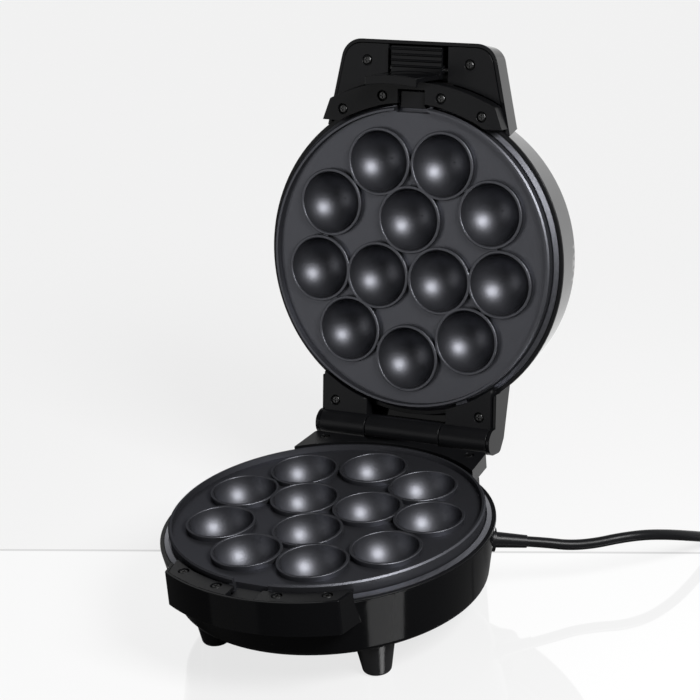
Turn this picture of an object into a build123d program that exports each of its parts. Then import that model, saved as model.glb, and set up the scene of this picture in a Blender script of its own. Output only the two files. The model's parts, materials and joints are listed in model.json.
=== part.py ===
from build123d import *

import math
import os

os.makedirs("parts", exist_ok=True)

# Multi snack maker: a round cake pop maker with a hinged lid, standing open on a counter.
# Millimetres. X runs to the right, Y to the rear and Z up.
# The origin lies on the counter, under the centre of the round base.
# Each half is drawn with its plate facing up and its cup rims at height 0.
# The base half is then lifted to its height.
# The lid half is turned over onto the base and swung open about the hinge.

# Whole machine
rim_height = 70.0
closed_gap = 1.0
open_angle = 102.2
hinge_y = 111.1
hinge_rise = 3.3

# Plates and cups
cup_radius = 19.5
collar_wall = 1.9
collar_height = 3.5
collar_rounding = 0.5
outer_cup_count = 9
outer_cup_circle = 63.5
outer_cup_start = 10.0
inner_cup_count = 3
inner_cup_circle = 24.65
inner_cup_start = 30.0
web_width = 3.0
web_drop = 0.8
web_reach = 3.0
plate_radius = 95.2
plate_draft = 0.8
plate_thickness = 2.5
rim_width = 2.6
rim_crest = 1.3
rim_shoulder = 0.9
skirt_depth = 8.6
skirt_wall = 2.2

# Notch and ledge for the plate release, and hooks at the rear of the plate
notch_width = 23.0
notch_reach = 4.2
ledge_drop = 7.4
hook_angle = 22.0
hook_width = 8.0
hook_reach = 4.2
hook_drop = 6.4
hook_thickness = 2.0

# Heating element and the reflector pan under it
element_radius = 3.5
element_circle = 52.0
element_gap = 0.3
element_opening = 36.0
element_bend = 8.0
element_leg = 6.0
leg_hole_gap = 1.2
terminal_radius = 1.3
terminal_length = 5.0
pan_sheet = 0.6
pan_gap = 0.3
pan_lip_width = 2.7
pan_lip_drop = 7.4
pan_lip_fall = 1.3
pan_shelf_drop = 8.7
pan_shelf_width = 3.4
pan_taper = 14.0
pan_depth = 28.0
clip_width = 7.0
clip_wall = 2.0
clip_count = 3

# Round shells
tub_clearance = 0.1
tub_draft = 6.9
rim_drop = 9.8
tub_depth = 36.7
tub_rounding = 4.5
shell_wall = 2.4

# Frames around the plates
frame_gap = 0.2
ring_width = 2.5
ring_thickness = 1.0
skirt_plug_depth = 3.0
skirt_plug_wall = 1.8
frame_reach = 1.2
cover_thickness = 2.2
frame_wall = 2.0
fit_gap = 0.3

# Grip of the base
grip_radius = 110.4
grip_corner = 56.6
grip_root = 60.2
grip_root_y = -76.5
grip_top_drop = 2.8
grip_bottom_drop = 24.0
grip_lip = 1.8
insert_drop = 3.0
grip_rounding = 2.5

# Bracket at the front of the lid
bracket_radius = 111.0
bracket_corner = 56.5
bracket_corner_y = -97.6
bracket_root = 61.5
bracket_root_y = -84.0
bracket_drop = 0.5

# Bracket of the base at the hinge
rear_top = 0.5
rear_half_width = 62.0
rear_half_width_end = 60.0
rear_start_y = 75.0
rear_end_y = 101.5
rear_box_half_width = 53.5
post_half_width = 22.0
post_end_y = 116.0

# Hinge
barrel_radius = 8.3
barrel_joint = 26.0
barrel_gap = 0.7
pin_radius = 4.5
pin_bore = 3.2
pin_inner_end = 9.0
pin_outer_end = 36.0
pin_clearance = 0.05
press_gap = 0.02
swing_clearance = 0.5

# Ears of the lid and the housing over the hinge
ear_half_width = 58.3
ear_inner = 27.8
ear_drop = 1.0
housing_half_width = 61.0
housing_top_drop = 3.5
housing_slope = [(111.1, -17.6), (79.0, -25.0), (62.0, -28.5)]
housing_start_y = 60.0
housing_shoulder = 12.0
housing_rounding = 5.0

# Handle of the lid
handle_root = 62.9
handle_root_y = -79.7
handle_end = 51.0
handle_end_y = -135.0
handle_corner = 14.0
handle_depth = 21.0
handle_taper = 8.0
handle_rounding = 3.0
handle_cover_drop = 9.2
handle_cover_thickness = 2.4
pocket_setback = 1.8

# Latch of the lid
latch_half_width = 17.2
latch_gap = 0.6
latch_lip_height = 28.8
latch_lip_thickness = 2.6
latch_lip_reach = 5.4
latch_wall = 2.8
latch_pivot_y = -117.6
latch_pivot_drop = 12.5
latch_pad_drop = 6.8
latch_pad_thickness = 2.4
latch_pad_end_y = -131.8
latch_rib_radius = 0.8
latch_rib_count = 4
latch_recess_half_width = 20.6
latch_pin_radius = 1.2
latch_eye_radius = 2.9

# Plate releases
release_half_width = 8.3
release_side_gap = 0.8
release_inner_y = -93.9
release_outer_y = -104.4
release_recess = 2.5
release_leg_half_width = 4.0
release_leg_drop = 14.0
release_leg_thickness = 1.8
release_leg_y = -97.2
release_chamfer = 0.3
spring_radius = 2.3
spring_wire = 0.3
spring_turns = 6
spring_drop = 10.9

# Screws
screw_head_radius = 2.7
screw_head_height = 1.7
screw_head_rounding = 1.0
screw_shank = 1.45
screw_pilot = 1.5
screw_hole = 1.7
screw_cross = 3.2
screw_cross_width = 0.7
screw_cross_depth = 0.9
counterbore_radius = 3.3
counterbore_depth = 2.0
boss_radius = 3.2
rear_boss_radius = 2.9
frame_boss_radius = 4.4
screw_length = 12.0
lid_screw_length = 15.0
pilot_depth = 9.0
handle_pilot_depth = 12.0
base_screw_circle = 101.2
lid_screw_circle = 102.9
inner_screw_angle = 11.2
outer_screw_angle = 27.5
rear_screw_x = 50.5
rear_screw_y = 95.2
ear_screw_y = 96.3
handle_screw_x = 35.2
handle_screw_y = -121.8

# Feet
foot_top_radius = 12.5
foot_bottom_radius = 8.3
foot_rounding = 2.6
front_foot_x = 54.0
front_foot_y = -53.0
rear_foot_x = 41.0
rear_foot_y = 88.9
foot_pilot_depth = 12.0
foot_screw_length = 13.4

# Power cord, its gland and its plug
cord_radius = 3.25
cord_rest_gap = 0.05
gland_angle = 31.0
gland_drop = 31.0
gland_flange_radius = 7.4
gland_flange = 2.5
gland_neck_radius = 4.6
gland_inner_flange_radius = 6.0
gland_inner_flange = 2.0
gland_play = 0.6
relief_length = 22.0
relief_start_radius = 4.9
relief_end_radius = 3.9
relief_lead = 12.0
cord_waypoints = [
    (124.0, 74.0, 29.4),
    (137.0, 82.0, 28.8),
    (150.0, 91.0, 30.1),
    (162.0, 102.0, 28.8),
    (172.0, 115.0, 24.1),
    (180.0, 130.0, 17.2),
    (186.0, 146.0, 9.3),
    (192.0, 163.0, 4.4),
    (198.0, 180.0, 3.5),
]
coil_lead = 13.0
coil_centre = (240.0, 212.0)
coil_radius = 38.6
coil_pitch = 8.6
coil_climb = 7.05
coil_turns_in = 2
coil_turns_out = 2
tail_turn = (1.5, -27.0, 2.6)
tail_shift = 4.0
tail_rise = 41.0
tail_length = 53.0
plug_radius = 18.0
plug_back_radius = 16.0
plug_depth = 22.0
plug_neck_length = 18.0
plug_pin_radius = 2.4
plug_pin_length = 19.0
plug_pin_spacing = 19.0

# Electrical pieces
thermostat_radius = 8.0
thermostat_height = 6.5
thermostat_flange = 27.0
thermostat_tab = 9.6
fuse_radius = 2.0
fuse_length = 22.0
wire_radius = 1.3
block_x = 44.0
block_length = 16.0
block_width = 12.0
block_height = 9.0
sheath_radius = 2.6
sheath_run = 6.0
sheath_landing = 79.0
clamp_length = 6.0
clamp_width = 14.0
clamp_wall = 1.9
clamp_x = 57.5
link_radius = 2.4
link_setback = 2.0
lead_reach = 7.6
lamp_radius = 3.0
lamp_spacing = 24.0
lamp_y = -62.0
lamp_head_radius = 4.2
lamp_head_height = 1.2
lamp_shank = 5.0
lid_wire_x = 40.5
lid_wire_drop = 17.0
lid_wire_slope = (0.0, -0.8, -0.6)

# Hidden routes of the wires, in the frame of the half they belong to
left_lead_route = [(10.0, 40.0, -39.0)]
link_start_x = 40.0
link_run = 11.0
link_route = [(22.0, 76.0, -36.0), (4.0, 88.0, -33.0), (0.0, 100.0, -31.0)]
link_rise = -22.0
lid_link_route = [
    (40.5, 104.4, -7.0),
    (40.5, 96.0, -14.0),
    (40.5, 87.5, -17.0),
    (39.5, 82.0, -25.0),
    (36.0, 76.0, -34.0),
    (28.0, 66.0, -36.4),
    (20.5, 56.0, -36.4),
]
lid_right_lead_route = [(18.5, 53.4, -36.6)]
lid_left_lead_route = [(14.0, 60.5, -36.4), (3.0, 60.0, -36.6)]

# Values that follow from the driving dimensions
collar_radius = cup_radius + collar_wall
skirt_radius = plate_radius - plate_draft
plate_under = -(collar_height + plate_thickness)
pan_radius = plate_radius + pan_gap
pan_lip_radius = pan_radius + pan_lip_width
ring_inner = pan_lip_radius + frame_gap
ring_outer = ring_inner + ring_width
ring_top = -rim_drop + ring_thickness
tub_rim_radius = ring_outer + tub_clearance
tub_floor_radius = tub_rim_radius - tub_draft
tub_floor = -(rim_drop + tub_depth)
tub_inside_floor = tub_floor + shell_wall
tub_inner_rim = tub_rim_radius - shell_wall
frame_inner = ring_inner - frame_reach
hinge_height = rim_height + hinge_rise
lid_hinge = closed_gap - hinge_rise
element_height = -math.sqrt(
    (collar_radius + element_radius) ** 2 - (outer_cup_circle - element_circle) ** 2
) - element_gap
barrel_half = barrel_joint - barrel_gap / 2
notch_y = -(plate_radius - notch_reach)
skirt_plug_radius = tub_inner_rim - frame_gap
hook_clear = -hook_drop + fit_gap
lid_hinge_axis = Axis((0, hinge_y, hinge_height), (1, 0, 0))


# Helpers

def polar(radius, degrees, height=0.0):
    """A point at a radius and an angle from +X, counterclockwise."""
    turn = math.radians(degrees)
    return (radius * math.cos(turn), radius * math.sin(turn), height)


def ring_of_points(radius, count, start):
    """Points evenly spaced round a circle."""
    return [polar(radius, start + 360.0 * index / count) for index in range(count)]


def front_screws(radius):
    """The four screw places on a circle, to both sides of the front."""
    angles = (-outer_screw_angle, -inner_screw_angle, inner_screw_angle, outer_screw_angle)
    return [polar(radius, -90.0 + angle) for angle in angles]


def hook_places(radius, height):
    """The two places at the rear of a plate where it hooks under the frame."""
    turns = (90.0 - hook_angle, 90.0 + hook_angle)
    return [Location(polar(radius, turn, height), (0, 0, turn)) for turn in turns]


def raised(points, height):
    """The same places at another height."""
    return [(point[0], point[1], height) for point in points]


def revolved(points):
    """A solid of revolution about Z from an outline of radii and heights."""
    with BuildPart() as body:
        with BuildSketch(Plane.XZ):
            with BuildLine():
                Polyline(*points, close=True)
            make_face()
        revolve(axis=Axis.Z)
    return body.part


def extruded(outline, bottom, top):
    """A plate of an outline between two heights."""
    with BuildPart() as body:
        with BuildSketch(Plane.XY.offset(bottom)):
            add(outline)
        extrude(amount=top - bottom)
    return body.part


def tube_along(path, radius):
    """A round bar along a wire, square at its start."""
    with BuildPart() as bar:
        with BuildSketch(Plane(origin=path @ 0, z_dir=path % 0)):
            Circle(radius)
        sweep(path=path)
    return bar.part


def bend_radii(points, share=0.45):
    """The largest arc at each inner point that its two runs leave room for."""
    vectors = [Vector(*point) for point in points]
    radii = []
    for before, corner, after in zip(vectors, vectors[1:], vectors[2:]):
        turn = math.radians((corner - before).get_angle(after - corner))
        shorter = min((corner - before).length, (after - corner).length)
        radii.append(share * shorter / math.tan(turn / 2))
    return radii


def routed_tube(points, radius):
    """A round tube along straight runs joined by tangent arcs, with its route."""
    with BuildLine() as route:
        FilletPolyline(*points, radius=bend_radii(points))
    path = route.wires()[0]
    return tube_along(path, radius), path


def on_base(piece):
    """A piece of the base half, lifted to its height over the counter."""
    return piece.moved(Location((0, 0, rim_height)))


def on_lid(piece):
    """A piece of the lid half, turned over onto the base and swung open."""
    shut = piece.moved(Location((0, 0, rim_height + closed_gap), (0, 180, 0)))
    return shut.rotate(lid_hinge_axis, -open_angle)


def finish(piece, name):
    """Labels a finished piece and writes it to its own file."""
    piece.label = name
    export_step(piece, f"parts/{name}.step")


# Outlines seen from above

def grip_outline(radius, corner_x, corner_y, root_x, root_y, inner_radius, inset=0.0):
    """An arc-shaped front block, from an inner circle out to its curved face."""
    with BuildSketch() as outline:
        with BuildLine():
            ThreePointArc((-corner_x, corner_y), (0, -radius), (corner_x, corner_y))
            Polyline((corner_x, corner_y), (root_x, root_y), (-root_x, root_y), (-corner_x, corner_y))
        make_face()
        front = outline.vertices().group_by(Axis.Y)[0]
        fillet(front, grip_rounding)
        if inset > 0:
            offset(amount=-inset, kind=Kind.INTERSECTION)
        Circle(inner_radius, mode=Mode.SUBTRACT)
    return outline.sketch


def handle_outline(inset=0.0):
    """The trapezoid handle of the lid, with rounded outer corners."""
    with BuildSketch() as outline:
        with BuildLine():
            Polyline(
                (-handle_end, handle_end_y),
                (handle_end, handle_end_y),
                (handle_root, handle_root_y),
                (-handle_root, handle_root_y),
                close=True,
            )
        make_face()
        fillet(outline.vertices().group_by(Axis.Y)[0], handle_corner)
        if inset > 0:
            offset(amount=-inset, kind=Kind.INTERSECTION)
    return outline.sketch


def bracket_outline(inset=0.0):
    """The rear bracket of the base, from the plate back to the hinge."""
    with BuildSketch() as outline:
        with BuildLine():
            Polyline(
                (-rear_half_width, rear_start_y),
                (rear_half_width, rear_start_y),
                (rear_half_width_end, rear_end_y),
                (-rear_half_width_end, rear_end_y),
                close=True,
            )
        make_face()
        fillet(outline.vertices().group_by(Axis.Y)[-1], grip_rounding)
        if inset > 0:
            offset(amount=-inset, kind=Kind.INTERSECTION)
        Circle(frame_inner + inset, mode=Mode.SUBTRACT)
    return outline.sketch


# Shared pieces

def make_screw(length):
    """A pan-head screw standing on its seat at height 0, with a cross recess."""
    with BuildPart() as screw:
        with BuildSketch(Plane.XZ) as head:
            with BuildLine():
                Polyline(
                    (0, -length),
                    (screw_shank / 2, -length),
                    (screw_shank, -length + screw_shank),
                    (screw_shank, 0),
                    (screw_head_radius, 0),
                    (screw_head_radius, screw_head_height),
                    (0, screw_head_height),
                    close=True,
                )
            make_face()
            fillet(head.vertices().sort_by(Axis.X)[-2:].sort_by(Axis.Y)[-1], screw_head_rounding)
        revolve(axis=Axis.Z)
        with BuildSketch(Plane.XY.offset(screw_head_height)):
            Rectangle(screw_cross, screw_cross_width)
            Rectangle(screw_cross_width, screw_cross)
        extrude(amount=-screw_cross_depth, mode=Mode.SUBTRACT)
    return screw.part


def screw_group(places, length):
    """Identical screws, each at its own place."""
    screw = make_screw(length)
    with BuildPart() as group:
        with Locations(*places):
            add(screw)
    return group.part


def make_bowl(radius, flare):
    """A half ball with its flat side up, whose rim is rounded in (-1) or flared out (1)."""
    depth = collar_rounding
    shoulder = math.sqrt(radius ** 2 - depth ** 2)
    lip = shoulder + flare * depth
    slant = depth * (1 - math.sqrt(0.5))
    middle = (shoulder + flare * slant, -slant)
    with BuildPart() as bowl:
        with BuildSketch(Plane.XZ):
            with BuildLine():
                bottom = ThreePointArc(
                    (0, -radius),
                    polar(radius, -45.0)[:2],
                    (shoulder, -depth),
                )
                rim = ThreePointArc(bottom @ 1, middle, (lip, 0))
                Polyline(rim @ 1, (0, 0), bottom @ 0)
            make_face()
        revolve(axis=Axis.Z)
    return bowl.part


def make_plate():
    """One cast plate with a raised rim, cups with collars, a ledge and two hooks."""
    centres = ring_of_points(outer_cup_circle, outer_cup_count, outer_cup_start)
    centres += ring_of_points(inner_cup_circle, inner_cup_count, inner_cup_start)
    reach = 2 * collar_radius + web_reach
    pairs = [
        (Vector(*a), Vector(*b))
        for index, a in enumerate(centres)
        for b in centres[index + 1:]
        if (Vector(*a) - Vector(*b)).length < reach
    ]
    collar = make_bowl(collar_radius, -1)
    hollow = make_bowl(cup_radius, 1)
    disc = revolved([
        (0, -collar_height),
        (plate_radius - rim_width, -collar_height),
        (plate_radius - rim_shoulder - rim_crest, 0),
        (plate_radius - rim_shoulder, 0),
        (plate_radius, -rim_shoulder),
        (skirt_radius, -skirt_depth),
        (skirt_radius - skirt_wall, -skirt_depth),
        (skirt_radius - skirt_wall, plate_under),
        (0, plate_under),
    ])
    with BuildPart() as plate:
        add(disc)
        with Locations(*centres):
            add(collar)
        for near, far in pairs:
            line = far - near
            middle = (near + far) * 0.5
            turn = math.degrees(math.atan2(line.Y, line.X))
            with Locations(Location((middle.X, middle.Y, -collar_height), (0, 0, turn))):
                Box(
                    web_reach,
                    web_width,
                    collar_height - web_drop,
                    align=(Align.CENTER, Align.CENTER, Align.MIN),
                )
        with Locations((0, notch_y, -skirt_depth)):
            Box(
                notch_width + 2 * skirt_wall,
                notch_reach * 2,
                skirt_depth - collar_height,
                align=(Align.CENTER, Align.CENTER, Align.MIN),
            )
        with Locations((0, notch_y, -ledge_drop)):
            Box(
                notch_width,
                4 * notch_reach,
                ledge_drop + 1,
                align=(Align.CENTER, Align.MAX, Align.MIN),
                mode=Mode.SUBTRACT,
            )
        with Locations(*hook_places(skirt_radius - skirt_wall / 2, -hook_drop)):
            Box(
                hook_reach + skirt_wall / 2,
                hook_width,
                hook_thickness,
                align=(Align.MIN, Align.CENTER, Align.MAX),
            )
        with Locations(*centres):
            add(hollow, mode=Mode.SUBTRACT)
    return plate.part


def make_element():
    """A tubular heating element: an open ring with two legs turned down at the rear."""
    start = 90 + element_opening / 2
    with BuildLine() as ring:
        CenterArc((0, 0, element_height), element_circle, start, 360 - element_opening)
    edge = ring.edges()[0]
    ends = []
    for point, outward in ((edge @ 0, (edge % 0) * -1), (edge @ 1, edge % 1)):
        bend_end = point + outward * element_bend - Vector(0, 0, element_bend)
        ends.append((point, outward, bend_end))
    with BuildLine() as path:
        first, last = ends
        Line(first[2] - Vector(0, 0, element_leg), first[2])
        TangentArc(first[2], first[0], tangent=(0, 0, 1))
        add(edge)
        TangentArc(last[0], last[2], tangent=last[1])
        Line(last[2], last[2] - Vector(0, 0, element_leg))
    bar = tube_along(path.wires()[0], element_radius)
    with BuildPart() as element:
        add(bar)
        with Locations(*[end[2] - Vector(0, 0, element_leg) for end in ends]):
            Cylinder(
                terminal_radius,
                terminal_length,
                align=(Align.CENTER, Align.CENTER, Align.MAX),
            )
    return element.part, [end[2] for end in ends]


def make_pan(leg_places):
    """A thin bright dish: a sloping lip, a shelf for the plate and a tapered bowl."""
    shelf_inner = pan_radius - pan_shelf_width
    floor_radius = shelf_inner - pan_taper
    lip_under = pan_lip_drop + pan_sheet * (1 + pan_lip_fall / pan_lip_width)
    sheet = revolved([
        (pan_lip_radius, -pan_lip_drop - pan_lip_fall),
        (pan_radius, -pan_lip_drop),
        (pan_radius, -pan_shelf_drop),
        (shelf_inner, -pan_shelf_drop),
        (floor_radius, -pan_depth),
        (0, -pan_depth),
        (0, -pan_depth - pan_sheet),
        (floor_radius + pan_sheet / 2, -pan_depth - pan_sheet),
        (shelf_inner + pan_sheet, -pan_shelf_drop - pan_sheet),
        (pan_radius + pan_sheet, -pan_shelf_drop - pan_sheet),
        (pan_radius + pan_sheet, -lip_under),
        (pan_lip_radius, -pan_lip_drop - pan_lip_fall - pan_sheet),
    ])
    with BuildPart() as pan:
        add(sheet)
        with Locations(*[(point.X, point.Y, -pan_depth) for point in leg_places]):
            Cylinder(element_radius + leg_hole_gap, 4 * pan_sheet, mode=Mode.SUBTRACT)
        with Locations((0, -pan_radius, -pan_lip_drop)):
            Box(
                notch_width + 2 * skirt_wall + 2 * fit_gap,
                4 * pan_lip_width,
                2 * (pan_shelf_drop - pan_lip_drop) + pan_lip_fall,
                mode=Mode.SUBTRACT,
            )
        with Locations(*hook_places(pan_radius, -pan_lip_drop)):
            Box(
                4 * pan_lip_width,
                hook_width + 2 * fit_gap,
                2 * (pan_shelf_drop - pan_lip_drop) + pan_lip_fall,
                mode=Mode.SUBTRACT,
            )
    return pan.part


def make_clips():
    """Three saddles that hold the element to the floor of the pan."""
    places = ring_of_points(element_circle, clip_count, -90.0)
    saddle_height = element_height + pan_depth
    with BuildPart() as clips:
        for index, place in enumerate(places):
            turn = -90.0 + 360.0 * index / clip_count
            with Locations(Location((place[0], place[1], -pan_depth), (0, 0, turn))):
                Box(
                    2 * (element_radius + clip_wall),
                    clip_width,
                    saddle_height,
                    align=(Align.CENTER, Align.CENTER, Align.MIN),
                )
        ring = revolved_ring(element_circle, element_height, element_radius + pin_clearance)
        add(ring, mode=Mode.SUBTRACT)
    return clips.part


def revolved_ring(circle, height, radius):
    """A full round ring about Z."""
    with BuildPart() as ring:
        with BuildSketch(Plane.XZ):
            with Locations((circle, height)):
                Circle(radius)
        revolve(axis=Axis.Z)
    return ring.part


def make_tub(inset=0.0):
    """The round drafted tub of a shell, or the space inside it where inset is its wall."""
    floor = tub_floor + inset
    with BuildPart() as tub:
        with BuildSketch(Plane.XZ) as section:
            with BuildLine():
                Polyline(
                    (0, floor),
                    (tub_floor_radius - inset, floor),
                    (tub_rim_radius - inset, -rim_drop),
                    (0, -rim_drop),
                    close=True,
                )
            make_face()
            corner = section.vertices().group_by(Axis.Y)[0].sort_by(Axis.X)[-1]
            fillet(corner, tub_rounding - inset)
        revolve(axis=Axis.Z)
    return tub.part


def make_ring():
    """The frame ring: a flat face round the pan, a ledge for its lip and a plug in the tub."""
    ledge = -pan_lip_drop - pan_lip_fall - pan_sheet
    plug_bottom = -rim_drop - skirt_plug_depth
    plug_inner = skirt_plug_radius - skirt_plug_wall
    return revolved([
        (plug_inner, ledge),
        (ring_inner, ledge),
        (ring_inner, ring_top),
        (ring_outer, ring_top),
        (ring_outer, -rim_drop),
        (skirt_plug_radius, -rim_drop),
        (skirt_plug_radius - frame_gap * 3, plug_bottom),
        (plug_inner, plug_bottom),
    ])


def make_release(cover_drop):
    """A sliding block that hooks over the ledge of the plate, with a leg for its spring."""
    top = -(cover_drop + release_recess)
    bottom = -ledge_drop + fit_gap
    with BuildPart() as block:
        with Locations((0, release_outer_y, bottom)):
            Box(
                2 * release_half_width,
                release_inner_y - release_outer_y,
                top - bottom,
                align=(Align.CENTER, Align.MIN, Align.MIN),
            )
        edges = block.faces().sort_by(Axis.Z)[-1].edges()
        chamfer(edges, release_chamfer)
        with Locations((0, release_leg_y, bottom)):
            Box(
                2 * release_leg_half_width,
                release_leg_thickness,
                release_leg_drop + bottom,
                align=(Align.CENTER, Align.MAX, Align.MAX),
            )
    return block.part


def make_release_spring(length):
    """A small compression spring between the release leg and the wall of the grip."""
    start = release_leg_y - release_leg_thickness
    half_turns = 2 * spring_turns
    with BuildLine() as path:
        points = []
        for index in range(half_turns + 1):
            side = 1 if index % 2 == 0 else -1
            along = start - spring_wire - (length - 2 * spring_wire) * index / half_turns
            points.append((side * spring_radius, along, -spring_drop))
        for index, (a, b) in enumerate(zip(points, points[1:])):
            side = 1 if index % 2 == 0 else -1
            half_turn(a, (0, 0, side), b, (0, 0, -side))
    return tube_along(path.wires()[0], spring_wire)


def half_turn(start, start_heading, end, end_heading):
    """Two tangent arcs from one point and heading to another."""
    a = Vector(*start)
    b = Vector(*end)
    heading_a = Vector(*start_heading).normalized()
    heading_b = Vector(*end_heading).normalized()
    gap = b - a
    total = heading_a + heading_b
    spread = 2 * (1 - heading_a.dot(heading_b))
    along = gap.dot(total)
    reach = (-along + math.sqrt(along ** 2 + spread * gap.dot(gap))) / spread
    control_a = a + heading_a * reach
    control_b = b - heading_b * reach
    middle = (control_a + control_b) * 0.5
    middle_heading = (control_b - control_a).normalized()
    TangentArc(a, middle, tangent=heading_a)
    TangentArc(middle, b, tangent=middle_heading)


# Base half

grip_corner_y = -math.sqrt(grip_radius ** 2 - grip_corner ** 2)
base_screws = front_screws(base_screw_circle)
rear_screws = [(side * rear_screw_x, rear_screw_y) for side in (-1, 1)]
feet_places = {
    "front_left_foot": (-front_foot_x, front_foot_y),
    "front_right_foot": (front_foot_x, front_foot_y),
    "rear_left_foot": (-rear_foot_x, rear_foot_y),
    "rear_right_foot": (rear_foot_x, rear_foot_y),
}
wall_lean = math.atan2(tub_draft, tub_depth)
gland_wall_radius = tub_rim_radius - (gland_drop - rim_drop) * tub_draft / tub_depth
gland_turn = math.radians(gland_angle)
gland_plane = Plane(
    origin=polar(gland_wall_radius, gland_angle, -gland_drop),
    x_dir=(-math.sin(gland_turn), math.cos(gland_turn), 0),
    z_dir=(
        math.cos(gland_turn) * math.cos(wall_lean),
        math.sin(gland_turn) * math.cos(wall_lean),
        -math.sin(wall_lean),
    ),
)


def base_grip(inner_radius, inset=0.0):
    """Outline of the grip of the base."""
    return grip_outline(
        grip_radius, grip_corner, grip_corner_y, grip_root, grip_root_y, inner_radius, inset
    )


def rear_box_outline(inset=0.0):
    """The box under the rear bracket, with a narrower post under the hinge."""
    with BuildSketch() as outline:
        for half_width, end in ((rear_box_half_width, rear_end_y), (post_half_width, post_end_y)):
            with Locations((0, (rear_start_y + end - inset) / 2)):
                Rectangle(2 * (half_width - inset), end - inset - rear_start_y)
    return outline.sketch


# Lower housing: the tub, the hollow grip, the rear box and the screw bosses
outer_tub = make_tub()
tub_space = make_tub(shell_wall)
grip_block = extruded(base_grip(tub_floor_radius), -grip_bottom_drop, -grip_top_drop)
grip_space = extruded(base_grip(tub_rim_radius, grip_lip), -grip_bottom_drop + shell_wall, 0.0)
rear_block = extruded(rear_box_outline(), tub_floor, ring_top)
with BuildPart() as rear_space:
    add(extruded(rear_box_outline(shell_wall), tub_inside_floor, 0.0))
    add(outer_tub, mode=Mode.SUBTRACT)
with BuildPart() as base_shell:
    add(outer_tub)
    add(grip_block)
    add(rear_block)
    add(tub_space, mode=Mode.SUBTRACT)
    add(grip_space, mode=Mode.SUBTRACT)
    add(rear_space, mode=Mode.SUBTRACT)
    with Locations((0, 0, -rim_drop)):
        Cylinder(
            ring_outer + fit_gap,
            rim_drop,
            align=(Align.CENTER, Align.CENTER, Align.MIN),
            mode=Mode.SUBTRACT,
        )
    with Locations(*raised(base_screws, -grip_bottom_drop + shell_wall / 2)):
        Cylinder(
            boss_radius,
            grip_bottom_drop - shell_wall / 2 - rim_drop,
            align=(Align.CENTER, Align.CENTER, Align.MIN),
        )
    with Locations(*raised(rear_screws, tub_floor + shell_wall / 2)):
        Cylinder(
            rear_boss_radius,
            ring_top - tub_floor - shell_wall / 2,
            align=(Align.CENTER, Align.CENTER, Align.MIN),
        )
    with Locations((0, 0, -rim_drop)):
        Cylinder(
            tub_inner_rim,
            skirt_plug_depth + fit_gap,
            align=(Align.CENTER, Align.CENTER, Align.MAX),
            mode=Mode.SUBTRACT,
        )
    with Locations(*raised(base_screws, -rim_drop), *raised(rear_screws, ring_top)):
        Hole(screw_pilot, pilot_depth)
    with Locations(*raised(feet_places.values(), tub_inside_floor)):
        Hole(screw_hole, shell_wall)
    with Locations(gland_plane.location):
        Cylinder(gland_neck_radius + pin_clearance, 4 * shell_wall, mode=Mode.SUBTRACT)
    with Locations((0, -tub_rim_radius, -rim_drop)):
        Box(
            2 * (release_leg_half_width + fit_gap),
            6 * shell_wall,
            2 * (release_leg_drop + fit_gap - rim_drop),
            mode=Mode.SUBTRACT,
        )
    with Locations((0, tub_inner_rim - shell_wall, -gland_drop)):
        Cylinder(2 * cord_radius, 8 * shell_wall, rotation=(90, 0, 0), mode=Mode.SUBTRACT)
finish(on_base(base_shell.part), "base_shell")

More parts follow.
